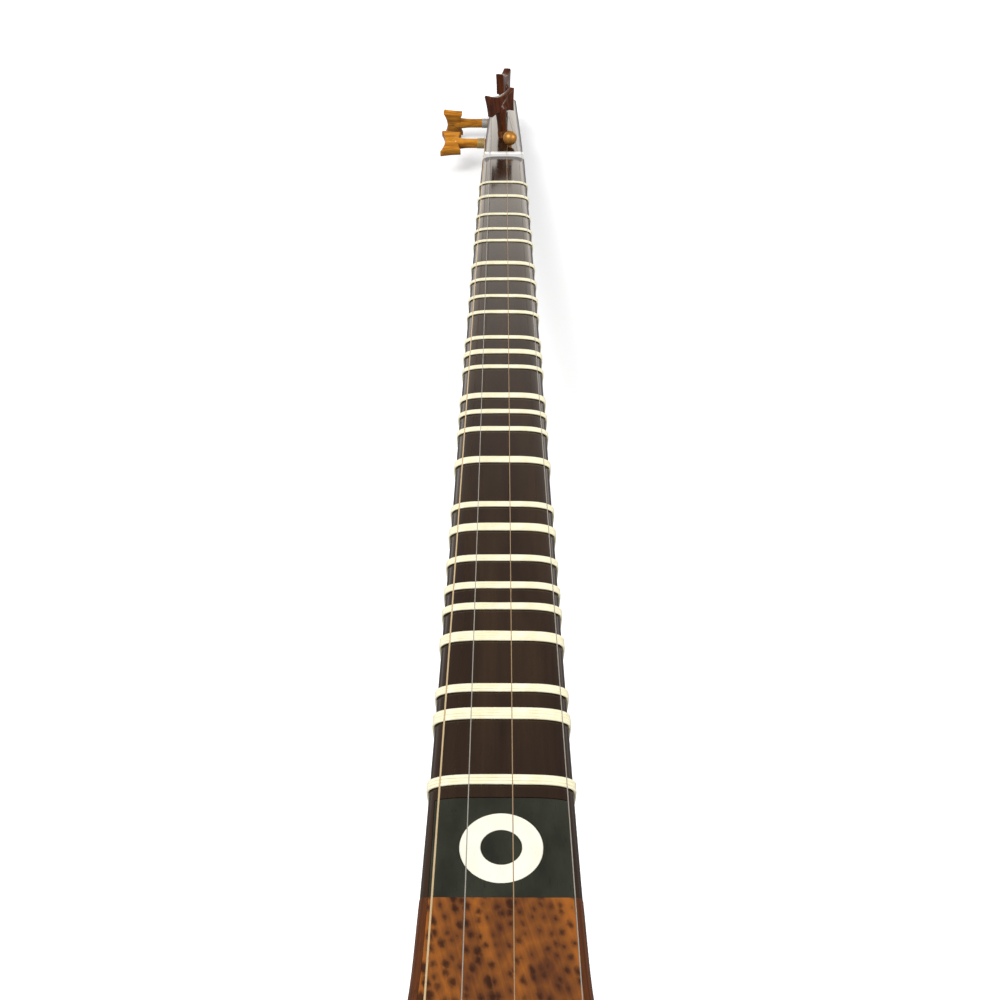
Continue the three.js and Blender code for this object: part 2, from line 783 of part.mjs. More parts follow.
// Bridge: two feet, an arch between them and a straight top edge
const bridge_y = -scale_length;
const [bridge_back, bridge_front] = [bridge_y - bridge_thickness / 2, bridge_y + bridge_thickness / 2];
const arch_half = bridge_arch_half_width;
const top_half = bridge_top_half_length;
const bridge_shape = new THREE.Shape();
bridge_shape.moveTo(-bridge_half_length, seat_gap);
bridge_shape.lineTo(-arch_half, seat_gap);
bridge_shape.quadraticCurveTo(-arch_half / 2, bridge_arch_height, 0, bridge_arch_height);
bridge_shape.quadraticCurveTo(arch_half / 2, bridge_arch_height, arch_half, seat_gap);
bridge_shape.lineTo(bridge_half_length, seat_gap);
bridge_shape.lineTo(bridge_half_length, bridge_foot_height);
bridge_shape.quadraticCurveTo(top_half, bridge_foot_height, top_half, bridge_height);
bridge_shape.lineTo(-top_half, bridge_height);
bridge_shape.quadraticCurveTo(-top_half, bridge_foot_height, -bridge_half_length, bridge_foot_height);
addPiece("bridge", standingPlate(bridge_shape, bridge_back, bridge_front), "amber_wood");

// Tail: a cap over the ends of the staves, a saddle on the soundboard's end, and the string holder
const tail_y = bowl_start - body_length;
const cap_front = tail_y - joint_gap;
const cap_back = cap_front - tail_cap_thickness;
const cap_shape = new THREE.Shape();
cap_shape.moveTo(-tail_cap_width / 2, 0);
cap_shape.quadraticCurveTo(-tail_cap_width / 2, -tail_cap_height, 0, -tail_cap_height);
cap_shape.quadraticCurveTo(tail_cap_width / 2, -tail_cap_height, tail_cap_width / 2, 0);
addPiece("tail_cap", standingPlate(cap_shape, cap_back, cap_front), "throat_ebony");
const saddle_back = cap_back - joint_gap;
const saddle = boxBetween(
  [-saddle_width / 2, saddle_back, seat_gap],
  [saddle_width / 2, tail_y + saddle_on_board, saddle_height],
);
addPiece("tail_saddle", saddle, "bone");
const holder_blank = boxBetween(
  [-holder_width / 2, cap_back - seat_gap - holder_reach, -holder_drop - holder_height],
  [holder_width / 2, cap_back - seat_gap, -holder_drop],
);
const slot_bottom = -holder_drop - holder_slot_depth;
const holder_slots = Object.values(string_sizes).map(({ at_holder }) =>
  boxBetween(
    [at_holder - holder_slot_width / 2, cap_back - holder_reach - cut_overrun, slot_bottom],
    [at_holder + holder_slot_width / 2, cap_back + cut_overrun, cut_overrun],
  ),
);
addPiece("string_holder", cut(holder_blank, ...holder_slots), "bone");

// The way of each string: holder, tail saddle, bridge and nut, then on to its peg
function stringStart({ diameter, at_holder, at_bridge, at_nut }) {
  const radius = diameter / 2;
  const holder_y = saddle_back - holder_reach / 2;
  const over_saddle = saddle_height + radius + string_rest_gap;
  const over_bridge = bridge_height + radius + string_rest_gap;
  const over_nut = nut_height + radius + string_rest_gap;
  return [
    new THREE.Vector3(at_holder, holder_y, slot_bottom + radius + string_end_inset),
    new THREE.Vector3(at_holder, saddle_back - saddle_bend, saddle_height - saddle_bend),
    new THREE.Vector3(at_holder, saddle_back - string_rest_gap, over_saddle + string_rest_gap),
    new THREE.Vector3(at_holder, saddle_back + saddle_bend, over_saddle),
    new THREE.Vector3(at_bridge, bridge_back, over_bridge),
    new THREE.Vector3(at_bridge, bridge_front, over_bridge),
    new THREE.Vector3(at_nut, 0, over_nut),
    new THREE.Vector3(at_nut, nut_thickness, over_nut),
  ];
}

// Behind the nut a string runs to the near side of its peg's winding, clear of the turning wire.
function stringEnd(size, peg, from) {
  const reach = windingRadius(size.diameter) + size.diameter + turning_clearance;
  if (peg.front) {
    const lean = Math.tan(THREE.MathUtils.degToRad(peg.lean)) * winding_start;
    const centre = new THREE.Vector2(peg.across - lean, pegPlace(peg));
    const touch = tangentPoint(new THREE.Vector2(from.x, from.y), centre, reach, 1);
    return new THREE.Vector3(touch.x, touch.y, winding_start);
  }
  const centre = new THREE.Vector2(pegPlace(peg), -side_peg_drop);
  const touch = tangentPoint(new THREE.Vector2(from.y, from.z), centre, reach, -1);
  return new THREE.Vector3(-neckWidth(pegPlace(peg)) / 2 - winding_start, touch.x, touch.y);
}

// The bends of the long side string over the edge of the head.
function edgeCrossing(peg) {
  return edge_crossing_shares.map(([along, out, down]) => {
    const y = pegPlace(peg) * along;
    const across = (neckWidth(y) / 2) * out + edge_crossing_gap * down;
    return new THREE.Vector3(-across, y, edge_crossing_gap - edge_drop * down);
  });
}

// Under the ball of the pin the sol string runs beside the pin's neck, just above the face.
function underPin(size) {
  const radius = size.diameter / 2;
  const across = pin_across - pin_neck_radius - radius - pin_side_gap;
  const ball_bottom = pin_ball_rise - Math.sqrt(pin_ball_radius ** 2 - (pin_across - across) ** 2);
  return new THREE.Vector3(across, pin_from_nut, ball_bottom - radius - pin_side_gap);
}

const across_strings = new THREE.Vector3(1, 0, 0);
const wound_spaces = [];
for (const [peg_name, peg] of Object.entries(peg_sizes)) {
  const size = string_sizes[peg.string];
  const path = stringStart(size);
  if (peg.string === "zang") path.push(...edgeCrossing(peg));
  if (peg.string === "sol") path.push(underPin(size));
  path.push(stringEnd(size, peg, path[path.length - 1]));
  const string = wire(path, size.diameter / 2, string_sides, across_strings);
  addPiece(`string_${peg.string}`, string, string_finish[peg.string]);

  const frame = pegFrame(peg);
  const turning = new THREE.Group();
  turning.rotation.z = THREE.MathUtils.degToRad(peg.grip_turn);
  instrument.add(frame);
  frame.add(turning);
  const peg_finish = peg.front ? "dark_peg_wood" : "amber_wood";
  const wood = join(pegStem(pegShank(peg), peg.stem_length), pegGrip(peg.stem_length));
  addPiece(`peg_${peg_name}`, wood, peg_finish, turning);
  const winding_path = windingPath(size.diameter);
  wound_spaces.push(leastSpace(winding_path, winding_steps, size.diameter));
  const winding = wire(winding_path, size.diameter / 2, winding_sides, new THREE.Vector3(0, 0, 1));
  addPiece(`winding_${peg.string}`, winding, string_finish[peg.string], turning);
}

// Frets: gut wound round the neck in three or four turns, begun and ended at the bass side of its back
function fretPath(cents, turns) {
  const steps = neckSection(0).length;
  const start = face_outline_shares.length + back_segments / 2;
  const pitch = gut_diameter + gut_space;
  const middle = -scale_length * (1 - 2 ** (-cents / octave_cents));
  return Array.from({ length: turns * steps + 1 }, (_, i) => {
    const y = middle + pitch * (i / steps - turns / 2);
    const [x, z] = neckSection(y, gut_seat_gap + gut_diameter / 2)[(start + i) % steps];
    return new THREE.Vector3(x, y, z);
  });
}

const along_neck = new THREE.Vector3(0, 1, 0);
fret_cents.forEach((cents, i) => {
  const turns = wide_fret_cents.includes(cents) ? wide_fret_turns : narrow_fret_turns;
  const path = fretPath(cents, turns);
  wound_spaces.push(leastSpace(path, neckSection(0).length, gut_diameter));
  const name = `fret_${String(i + 1).padStart(2, "0")}`;
  addPiece(name, wire(path, gut_diameter / 2, gut_sides, along_neck), "gut");
});
console.log(`least space between turns of wire or gut: ${Math.min(...wound_spaces).toFixed(3)} mm`);

// The instrument lies on its bowl and on the end of its head: the steepest line from the head's lower
// edge that still passes under the whole bowl gives the tilt.
const head_low = new THREE.Vector2(head_length, -neckDepth(head_length));
const keel = Array.from({ length: bowl_stations + 1 }, (_, i) => {
  const half_strip = Math.PI / stave_count / stave_strips / 2;
  return bowlSurface(i / bowl_stations, Math.PI / 2 - half_strip);
});
const tilt = Math.max(...keel.map(({ y, z }) => Math.atan2(head_low.y - z, head_low.x - y)));
instrument.rotation.x = -tilt;

// The origin is on the table, in the middle of the instrument's outline
const setar = new THREE.Group();
setar.add(instrument);
setar.updateMatrixWorld(true);
const extent = new THREE.Box3().setFromObject(setar, true);
const middle = extent.getCenter(new THREE.Vector3());
instrument.position.set(-middle.x, -middle.y, -extent.min.z);

export default setar;
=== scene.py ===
# %% [markdown]
# # A setar, dressed in Blender
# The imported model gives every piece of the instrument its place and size. This lesson puts smoother,
# better finished pieces around those solids, and lights them as the photograph does.
# Lengths are in metres, because Blender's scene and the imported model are.

import json
import math

import bmesh
import bpy
import numpy as np
from mathutils import Matrix, Vector


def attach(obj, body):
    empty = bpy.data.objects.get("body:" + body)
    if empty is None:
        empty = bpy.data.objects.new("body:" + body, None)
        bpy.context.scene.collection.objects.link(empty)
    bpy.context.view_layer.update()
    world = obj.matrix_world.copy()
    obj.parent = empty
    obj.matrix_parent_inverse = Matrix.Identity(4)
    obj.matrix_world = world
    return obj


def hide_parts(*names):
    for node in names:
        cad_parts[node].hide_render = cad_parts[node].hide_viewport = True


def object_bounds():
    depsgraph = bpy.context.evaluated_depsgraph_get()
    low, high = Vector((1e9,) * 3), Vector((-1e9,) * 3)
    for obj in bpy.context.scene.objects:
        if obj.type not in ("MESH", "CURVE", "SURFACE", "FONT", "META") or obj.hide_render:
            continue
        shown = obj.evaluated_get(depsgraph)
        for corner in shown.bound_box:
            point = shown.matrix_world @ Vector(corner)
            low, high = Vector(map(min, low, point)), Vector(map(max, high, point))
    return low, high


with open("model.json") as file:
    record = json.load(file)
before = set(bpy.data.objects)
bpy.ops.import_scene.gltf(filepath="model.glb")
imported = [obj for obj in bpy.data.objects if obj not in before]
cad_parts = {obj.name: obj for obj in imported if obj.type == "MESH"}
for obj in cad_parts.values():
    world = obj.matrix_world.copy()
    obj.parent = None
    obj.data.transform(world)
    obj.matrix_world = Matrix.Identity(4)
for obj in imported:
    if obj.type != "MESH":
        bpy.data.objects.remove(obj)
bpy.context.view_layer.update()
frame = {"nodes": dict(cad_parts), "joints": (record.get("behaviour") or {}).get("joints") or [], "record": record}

# %% [markdown]
# ## The instrument's own axes
# The setar lies on its back, tipped a few degrees, so the row's axes don't follow its neck. Every piece
# is easier to draw in axes of its own: across the neck, along it towards the head, and up out of the
# face, starting where the strings leave the nut. The mount on the end of the head gives both the
# direction of the neck and a point on it, so nothing here is fitted by eye.

# %% Axes of the instrument
head_length = 0.140
head_end_depth = 0.017
mount = frame["record"]["mounts"][0]
along = Vector(mount["axis"]).normalized()
across = Vector((1, 0, 0))
upward = across.cross(along)
nut_point = Vector(mount["pos_m"]) - along * head_length + upward * head_end_depth / 2


def axes_at(origin, x_axis, y_axis, z_axis):
    axes = Matrix((x_axis, y_axis, z_axis)).transposed().to_4x4()
    axes.translation = origin
    return axes


def add_object(name, data):
    made = bpy.data.objects.new(name, data)
    bpy.context.scene.collection.objects.link(made)
    return made


instrument = axes_at(nut_point, across, along, upward)
tilt = math.atan2(-along.z, along.y)
print("nut at", [round(1000 * c, 1) for c in nut_point], "tilt", round(math.degrees(tilt), 2))

# %% [markdown]
# ## The camera
# The photograph looks up the neck from above the body. The frets are spaced by a known rule, so their
# places in the picture fix the camera: how far it stands from the nut, how high above the face, how
# steeply it looks down, and its focal length counted in pixels of a picture 1000 pixels wide.

# %% Camera at the photograph's view
picture_width = 1000
focal_pixels = 1043
sensor_width = 36
eye = Vector((0.0002, -0.592, 0.163))
look_down = math.radians(33.63)
look_left = math.radians(0.2)

ahead = along * math.cos(look_left) - across * math.sin(look_left)
rightward = across * math.cos(look_left) + along * math.sin(look_left)
forward = ahead * math.cos(look_down) - upward * math.sin(look_down)
camera_data = bpy.data.cameras.new("camera")
camera_data.sensor_width = sensor_width
camera_data.lens = focal_pixels / picture_width * sensor_width
camera_data.clip_start = 0.01
camera = add_object("camera", camera_data)
camera.matrix_world = axes_at(instrument @ eye, rightward, rightward.cross(forward), -forward)
bpy.context.scene.camera = camera
bpy.context.scene.view_settings.view_transform = "Standard"
print("camera at", [round(c, 3) for c in camera.location], "lens", round(camera_data.lens, 2))

# %% [markdown]
# ## Shader maths as Python
# A finish is a graph of nodes. Written node by node it is long and hard to read, so one small class
# stands for a node's output and lets Python's operators add the Math nodes. Every other node comes
# from the graph's `node` method, given its type and then its settings and the values of its sockets.

# %% A graph of shader nodes
class Value:
    """One output of a node. Arithmetic on it adds Math nodes."""

    def __init__(self, graph, output):
        self.graph = graph
        self.output = output

    def other(self, name):
        """Another output of the same node."""
        return Value(self.graph, self.output.node.outputs[name])


def operator(operation, swapped):
    def add_maths(self, other):
        first, second = (other, self) if swapped else (self, other)
        return self.graph.node("ShaderNodeMath", first, second, operation=operation)

    return add_maths


operations = {"add": "ADD", "sub": "SUBTRACT", "mul": "MULTIPLY", "truediv": "DIVIDE", "pow": "POWER"}
for sign, operation in operations.items():
    setattr(Value, f"__{sign}__", operator(operation, swapped=False))
    setattr(Value, f"__r{sign}__", operator(operation, swapped=True))


class Graph:
    """A node tree with a short way to add nodes and set or link their sockets."""

    def __init__(self, tree):
        self.tree = tree

    def give(self, socket, *values):
        for value in values:
            if isinstance(value, Value):
                self.tree.links.new(value.output, socket)
            else:
                socket.default_value = value

    def node(self, kind, *first, output=0, **named):
        """A node with its first sockets given, then settings in small letters and capitalised sockets."""
        made = self.tree.nodes.new(kind)
        sockets = dict(enumerate(first))
        for name, value in named.items():
            if name[0].islower():
                setattr(made, name, value)
            else:
                sockets[name.replace("_", " ")] = value
        for name, value in sockets.items():
            self.give(made.inputs[name], *(value if isinstance(value, list) else [value]))
        return Value(self, made.outputs[output])

    def ramp(self, share, stops):
        """A paint picked by a share, from the share and the paint of each stop."""
        made = self.node("ShaderNodeValToRGB", share)
        elements = made.output.node.color_ramp.elements
        while len(elements) < len(stops):
            elements.new(1)
        for element, (place, colour) in zip(elements, stops.items()):
            element.position = place
            element.color = paint(colour)
        return made

    def vectors(self, operation, *inputs, output="Vector", **named):
        """A Vector Math node of one or two vectors."""
        return self.node("ShaderNodeVectorMath", *inputs, output=output, operation=operation, **named)

    def blend(self, share, first, second):
        """A colour between two, which are the seventh and eighth of the Mix node's sockets."""
        mixed = self.node("ShaderNodeMix", share, output=2, data_type="RGBA")
        for number, colour in ((6, first), (7, second)):
            self.give(mixed.output.node.inputs[number], colour)
        return mixed

    def between(self, value, low, high):
        return self.node("ShaderNodeMapRange", value, low, high, 0, 1, clamp=True)


class Finish(Graph):
    """A material with one Principled shader."""

    def __init__(self, name, **sockets):
        self.material = bpy.data.materials.new(name)
        self.material.use_nodes = True
        super().__init__(self.material.node_tree)
        self.shader = self.tree.nodes["Principled BSDF"]
        for socket, value in sockets.items():
            self.set(socket, value)

    def set(self, socket, value):
        self.give(self.shader.inputs[socket], value)

    def surface(self, colour, roughness, height, depth):
        """Sets colour and roughness, and raises the surface by height times depth, in metres."""
        self.set("Base Color", colour)
        self.set("Roughness", roughness)
        self.set("Normal", self.node("ShaderNodeBump", Strength=1, Distance=depth, Height=height))
        return self

    def place(self, size, turn=0, source="grain"):
        """Where a point is, in steps of the given sizes. A piece's grain attribute, or its object."""
        if source == "grain":
            here = self.node("ShaderNodeAttribute", output="Vector", attribute_name="grain")
        else:
            here = self.node("ShaderNodeTexCoord", output="Object")
        turned = self.node("ShaderNodeVectorRotate", rotation_type="Z_AXIS", Vector=here, Angle=turn)
        return self.vectors("MULTIPLY", turned, tuple(1 / step for step in size))

    def noise(self, size, turn=0, source="grain", detail=4, distortion=0):
        look = {"Detail": detail, "Roughness": 0.55, "Distortion": distortion}
        return self.node("ShaderNodeTexNoise", Vector=self.place(size, turn, source), Scale=1, **look)

    def flecks(self, size, low, high):
        """Small marks of a size, full where the noise is over high and none where it is under low."""
        return self.between(self.noise(size, detail=2), low, high)


def paint(hex_colour):
    """A colour written as in a paint program, as the linear values that a shader takes."""
    shares = [int(hex_colour[i : i + 2], 16) / 255 for i in (0, 2, 4)]
    linear = [((s + 0.055) / 1.055) ** 2.4 if s > 0.04045 else s / 12.92 for s in shares]
    return (*linear, 1)


print("amber as a shader sees it:", [round(c, 3) for c in paint("cc8422")])

# %% [markdown]
# ## The dark lacquer of the neck
# The neck is one long piece of dark walnut under a thick clear lacquer. Seen steeply it is nearly
# black-brown with soft streaks. Seen flat, towards the head, it mirrors the white studio and turns
# grey. A mirror-smooth Principled surface does that by itself, through Fresnel, so the colour only
# needs the long streaks and a few fine pores.

# %% Neck lacquer
def neck_lacquer():
    finish = Finish("neck_wood", IOR=1.5)
    streaks = finish.noise((0.008, 0.07, 0.008), distortion=0.6)
    fibres = finish.noise((0.0007, 0.03, 0.0007), detail=3)
    pores = finish.flecks((0.0004, 0.006, 0.0004), 0.64, 0.72)
    colours = {0.28: "25160f", 0.5: "2f2015", 0.72: "392819"}
    wood = finish.ramp(streaks + (fibres - 0.5) * 0.2, colours)
    colour = finish.blend(pores * 0.4, wood, paint("1c120e"))
    return finish.surface(colour, 0.11 + streaks * 0.04, streaks * 0.6 + fibres * 0.1, 0.000003)


neck_finish = neck_lacquer()
print("made", neck_finish.material.name)

# %% [markdown]
# ## Mulberry for the bowl and the soundboard
# Mulberry is reddish-brown with big open pores. On the soundboard the pores show as short dark dashes,
# lined up in slanting rows, with lighter orange wood beside them. A picture could hold that, but
# cells do it at any size: each cell of a stretched, slanting Voronoi pattern may hold one dash, and the
# wood is a little lighter between the cells. One noise makes the dashes ragged, and a long, thin one
# says which rows are rich in them. The bowl has finer pores under a smooth satin lacquer.

# %% Mulberry
def soundboard_mulberry():
    finish = Finish("board_wood", IOR=1.5)
    finish.set("Specular IOR Level", 0.15)
    slant = math.radians(-16)
    wide = finish.noise((0.011, 0.05, 0.011), slant, detail=3, distortion=0.5)
    fibres = finish.noise((0.0006, 0.012, 0.0006), slant)
    rows = finish.noise((0.0023, 0.045, 0.0023), slant, detail=1)
    ragged = finish.noise((0.0007, 0.0011, 0.0011), slant, detail=1)
    cells = {"Vector": finish.place((0.0019, 0.0027, 0.0027), slant), "Scale": 1, "Randomness": 0.7}
    distance = finish.node("ShaderNodeTexVoronoi", voronoi_dimensions="2D", **cells)
    chance = finish.node("ShaderNodeSeparateColor", distance.other("Color"))
    reach = chance * 0.2 + (ragged - 0.5) * 0.5 + (rows - 0.5) * 0.75 + 0.1
    dashes = 1 - finish.between(distance - reach, -0.16, 0.16)
    shade = dashes * 0.75 + finish.between(rows, 0.5, 0.75) * 0.15
    mottled = wide + (fibres - 0.5) * 0.25 + (distance - 0.4) * 0.2
    wood = finish.ramp(mottled, {0.36: "5c341d", 0.5: "7d4920", 0.64: "9e5c23"})
    colour = finish.blend(shade, wood, paint("301609"))
    return finish.surface(colour, 0.42 + dashes * 0.3, fibres * 0.3 - dashes, 0.00009)


def bowl_mulberry(name, dark, middle, light):
    finish = Finish(name, IOR=1.5)
    figure = finish.noise((0.007, 0.09, 0.02), distortion=0.8)
    fibres = finish.noise((0.0008, 0.02, 0.02))
    pores = finish.flecks((0.0005, 0.004, 0.02), 0.6, 0.7)
    wood = finish.ramp(figure + (fibres - 0.5) * 0.35, {0.3: dark, 0.5: middle, 0.7: light})
    colour = finish.blend(pores * 0.55, wood, paint("3a2012"))
    return finish.surface(colour, 0.2 + fibres * 0.12, fibres * 0.3 - pores, 0.00004)


board_finish = soundboard_mulberry()
bowl_finish = bowl_mulberry("bowl_wood", "40200c", "5b2e0f", "754016")
bowl_light_finish = bowl_mulberry("bowl_wood_light", "6a3a15", "87501f", "9f632a")
print("made", board_finish.material.name, bowl_finish.material.name, bowl_light_finish.material.name)

# %% [markdown]
# ## The small fittings
# The throat plate is a greenish-black hardwood with little shine. Nut, ring, saddle and string holder
# are bone with faint long flecks, ivory white; the nut's bone is painted whiter, as painted light on
# its front face. The side pegs and the bridge are amber. The front pegs are the same wood painted a dark
# red-brown, as painted shade. All are under gloss lacquer. Frets are gut: cream and waxy. Wire is brass or
# steel, with fine drawing marks along it; the coil of the sol string is its brass painted a darker
# brown, as painted shade at the foot of its peg.

# %% Plain wood, plate and bone
def turned_wood(name, dark, light, roughness):
    finish = Finish(name, IOR=1.5)
    figure = finish.noise((0.0022, 0.0022, 0.014), distortion=0.6)
    fibres = finish.noise((0.0004, 0.0004, 0.006), detail=3)
    wood = finish.ramp(figure + (fibres - 0.5) * 0.3, {0.35: dark, 0.65: light})
    return finish.surface(wood, roughness + fibres * 0.1, fibres, 0.00003)


def throat_hardwood():
    finish = Finish("throat_ebony", IOR=1.5)
    clouds = finish.noise((0.006, 0.012, 0.006))
    pores = finish.flecks((0.0004, 0.003, 0.0004), 0.62, 0.7)
    wood = finish.ramp(clouds, {0.35: "1f2118", 0.65: "2e3024"})
    colour = finish.blend(pores * 0.5, wood, paint("15160f"))
    return finish.surface(colour, 0.3 + clouds * 0.15, 1 - pores, 0.00003)


def carved_bone(name, dark, light):
    finish = Finish(name, IOR=1.54)
    clouds = finish.noise((0.004, 0.008, 0.004), detail=3)
    flecks = finish.flecks((0.0003, 0.0016, 0.0003), 0.62, 0.72)
    bone = finish.ramp(clouds, {0.3: dark, 0.7: light})
    colour = finish.blend(flecks * 0.35, bone, paint("d2c49a"))
    return finish.surface(colour, 0.24 + clouds * 0.14, 1 - flecks, 0.00002)


def bare_softwood():
    finish = Finish("inner_wood", IOR=1.5)
    figure = finish.noise((0.002, 0.05, 0.004), source="object", detail=5)
    colour = finish.ramp(figure, {0.35: "9c774a", 0.65: "bd9a6b"})
    return finish.surface(colour, 0.65 + figure * 0.2, figure, 0.0001)


amber_finish = turned_wood("amber_wood", "a86410", "eb9d30", 0.08)
# The front pegs take this copy of the peg wood, painted a dark red-brown as painted shade.
painted_shade_peg_finish = turned_wood("dark_peg_wood", "3c1702", "642b04", 0.16)
plate_finish = throat_hardwood()
bone_finish = carved_bone("bone", "f4f0dc", "fcf9ea")
# The nut's bone is painted whiter than the other bone, as painted light on its front face.
nut_finish = carved_bone("white_bone", "fdf9f2", "ffffff")
inner_finish = bare_softwood()
print("made", amber_finish.material.name, bone_finish.material.name, inner_finish.material.name)


# %% Gut and wire
def tied_gut():
    finish = Finish("gut", IOR=1.5)
    clouds = finish.noise((0.003, 0.003, 0.003), detail=3)
    fibres = finish.noise((0.0006, 0.00012, 0.0006), detail=3)
    gut = finish.ramp(clouds + (fibres - 0.5) * 0.4, {0.3: "f2e8c0", 0.7: "fdf8de"})
    return finish.surface(gut, 0.34 + fibres * 0.2, fibres, 0.00004)


def drawn_wire(name, colour, shadow, metal, source="grain", dullness=0.35):
    finish = Finish(name, Metallic=metal)
    marks = finish.noise((0.0001, 0.004, 0.0001), source=source, detail=3)
    colour = finish.blend(marks * 0.5, paint(colour), paint(shadow))
    return finish.surface(colour, dullness + marks * 0.15, marks, 0.00001)


gut_finish = tied_gut()
brass_finish = drawn_wire("brass", "f2d592", "c09c5c", 0.3)
# The sol string's coil is its brass painted a darker brown, as painted shade at the foot of its peg.
painted_shade_brass_finish = drawn_wire("bronze", "8a5626", "4e2c12", 0.5)
steel_finish = drawn_wire("steel", "e8e6de", "b8b6ae", 0.3)
ball_finish = drawn_wire("brass_ball", "e8a750", "a8662c", 0.7, dullness=0.36)
bass_string_finish = drawn_wire("bass_string", "f6dcae", "cfae7c", 0.5, "object")
brass_string_finish = drawn_wire("brass_string", "c8aa84", "94765a", 0.5, "object")
steel_string_finish = drawn_wire("steel_string", "ccc8be", "989288", 0.6, "object")
print("made", gut_finish.material.name, brass_finish.material.name, steel_finish.material.name)

# %% [markdown]
# ## From points to a finished piece
# Most pieces are lofts: a row of closed rings, joined one to the next and capped at both ends. Each is
# drawn in axes of its own and then moved into the row, so that its object stays at the origin. The
# place of each point in those first axes is kept as an attribute named grain. The materials read it,
# so wood runs along each piece however that piece lies.

# %% Meshes, cuts and dressing
def loft(rings, band=False):
    """The points and faces of a shape through rings of equally many points, capped or a closed band."""
    rings = np.asarray(rings, float)
    count, sides = rings.shape[:2]
    caps = [tuple(range(sides)), tuple(reversed(range((count - 1) * sides, count * sides)))]
    faces = [] if band else caps
    for i in range(count if band else count - 1):
        here, there = i * sides, (i + 1) % count * sides
        for j in range(sides):
            k = (j + 1) % sides
            faces.append((here + k, here + j, there + j, there + k))
    return rings.reshape(-1, 3), faces


def turned(profile, sides, band=False):
    """The points and faces of a shape turned about Z, from rows of radius and height."""
    turns = np.linspace(0, 2 * np.pi, sides, endpoint=False)
    return loft([[(r * math.cos(t), r * math.sin(t), z) for t in turns] for r, z in profile], band)


def box_between(low, high):
    (x0, y0, z0), (x1, y1, z1) = low, high
    return loft([[(x0, y, z0), (x1, y, z0), (x1, y, z1), (x0, y, z1)] for y in (y0, y1)])


def mesh_of(name, points, faces=(), edges=()):
    mesh = bpy.data.meshes.new(name)
    mesh.from_pydata([tuple(p) for p in points], edges, faces)
    return mesh


def solid(name, shape, axes=instrument):
    """A Blender object of a closed shape, moved from its own axes into the row, facing outwards."""
    mesh = mesh_of(name, *shape)
    mesh.transform(axes)
    work = bmesh.new()
    work.from_mesh(mesh)
    bmesh.ops.recalc_face_normals(work, faces=work.faces)
    work.to_mesh(mesh)
    work.free()
    return add_object(name, mesh)


def settle(piece):
    """Turns a piece's modifiers into a plain mesh."""
    graph = bpy.context.evaluated_depsgraph_get()
    mesh = bpy.data.meshes.new_from_object(piece.evaluated_get(graph))
    piece.modifiers.clear()
    piece.data = mesh
    return piece


def combine(piece, tools, operation="DIFFERENCE"):
    """Cuts the tools out of a piece, or joins them to it, and removes them."""
    for tool in tools:
        modifier = piece.modifiers.new(operation, "BOOLEAN")
        modifier.operation = operation
        modifier.solver = "EXACT"
        modifier.object = tool
    settle(piece)
    for tool in tools:
        bpy.data.objects.remove(tool)
    return piece


def own_places(piece, axes):
    points = np.empty(3 * len(piece.data.vertices))
    piece.data.vertices.foreach_get("co", points)
    back = np.array(axes.inverted())
    return points.reshape(-1, 3) @ back[:3, :3].T + back[:3, 3]


def dress(piece, finish, nodes, body="root", axes=instrument, grain=None, crease=40):
    """Gives a finished mesh its material, grain and shading, and ties it to the frame."""
    mesh = piece.data
    places = own_places(piece, axes)
    attribute = mesh.attributes.new("grain", "FLOAT_VECTOR", "POINT")
    attribute.data.foreach_set("vector", (grain(places) if grain else places).astype(np.float32).ravel())
    mesh.materials.clear()
    mesh.materials.append(finish.material)
    mesh.shade_smooth()
    mesh.set_sharp_from_angle(angle=math.radians(crease))
    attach(piece, body)
    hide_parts(*nodes)
    return piece


def smooth_through(rows, steps=12):
    """A smooth line through the rows of a table, with its turns shared out as in the part."""
    rows = np.array(rows, float)
    padded = np.vstack([2 * rows[0] - rows[1], rows, 2 * rows[-1] - rows[-2]])
    shares = np.linspace(0, 1, steps, endpoint=False)[:, None]
    line = []
    for before, start, end, after in zip(padded, padded[1:], padded[2:], padded[3:]):
        first, middle, last = (
            np.linalg.norm(b - a) ** 0.5 for a, b in ((before, start), (start, end), (end, after))
        )
        run = (end - start) / middle
        leave = ((start - before) / first - (end - before) / (first + middle) + run) * middle
        arrive = (run - (after - start) / (middle + last) + (after - end) / last) * middle
        square, cube = shares**2, shares**3
        line.append(
            start * (2 * cube - 3 * square + 1)
            + leave * (cube - 2 * square + shares)
            + end * (3 * square - 2 * cube)
            + arrive * (cube - square)
        )
    return np.vstack([*line, rows[-1:]])


print("a bent line of", len(smooth_through([[0, 0], [0.5, 0.4], [1, 1]])), "points")

# %% [markdown]
# ## The neck and the head
# Neck and head are one piece. Its width grows from the nut to the throat and shrinks again towards the
# end of the head. The face is nearly flat and rolls over at its edges, the back is round, and the head
# gets squarer. A loft through many such sections gives the long unbroken reflections that the real
# one has, which the part's few facets can't. The pocket of the throat plate, the slot of the nut, the
# hole of the pin and the four peg holes are then cut out of it.

# %% Sections of the neck
scale_length = 0.650
neck_run_share, plate_length_share = 0.7317, 0.0348
neck_run, plate_length = scale_length * neck_run_share, scale_length * plate_length_share
nut_width, throat_width, head_end_width = 0.0234, 0.0297, 0.017
nut_depth, throat_depth = 0.020, 0.024
edge_drop = 0.0025
neck_taper_shares = [[0, 0], [0.33, 0.45], [0.59, 0.66], [0.81, 0.775], [0.94, 0.9], [1, 1]]
head_taper_shares = [[0, 0], [0.04, 0.11], [0.37, 0.39], [0.633, 0.655], [1, 1]]
square_back_power_share = 0.55
neck_taper = smooth_through(neck_taper_shares)
head_taper = smooth_through(head_taper_shares)


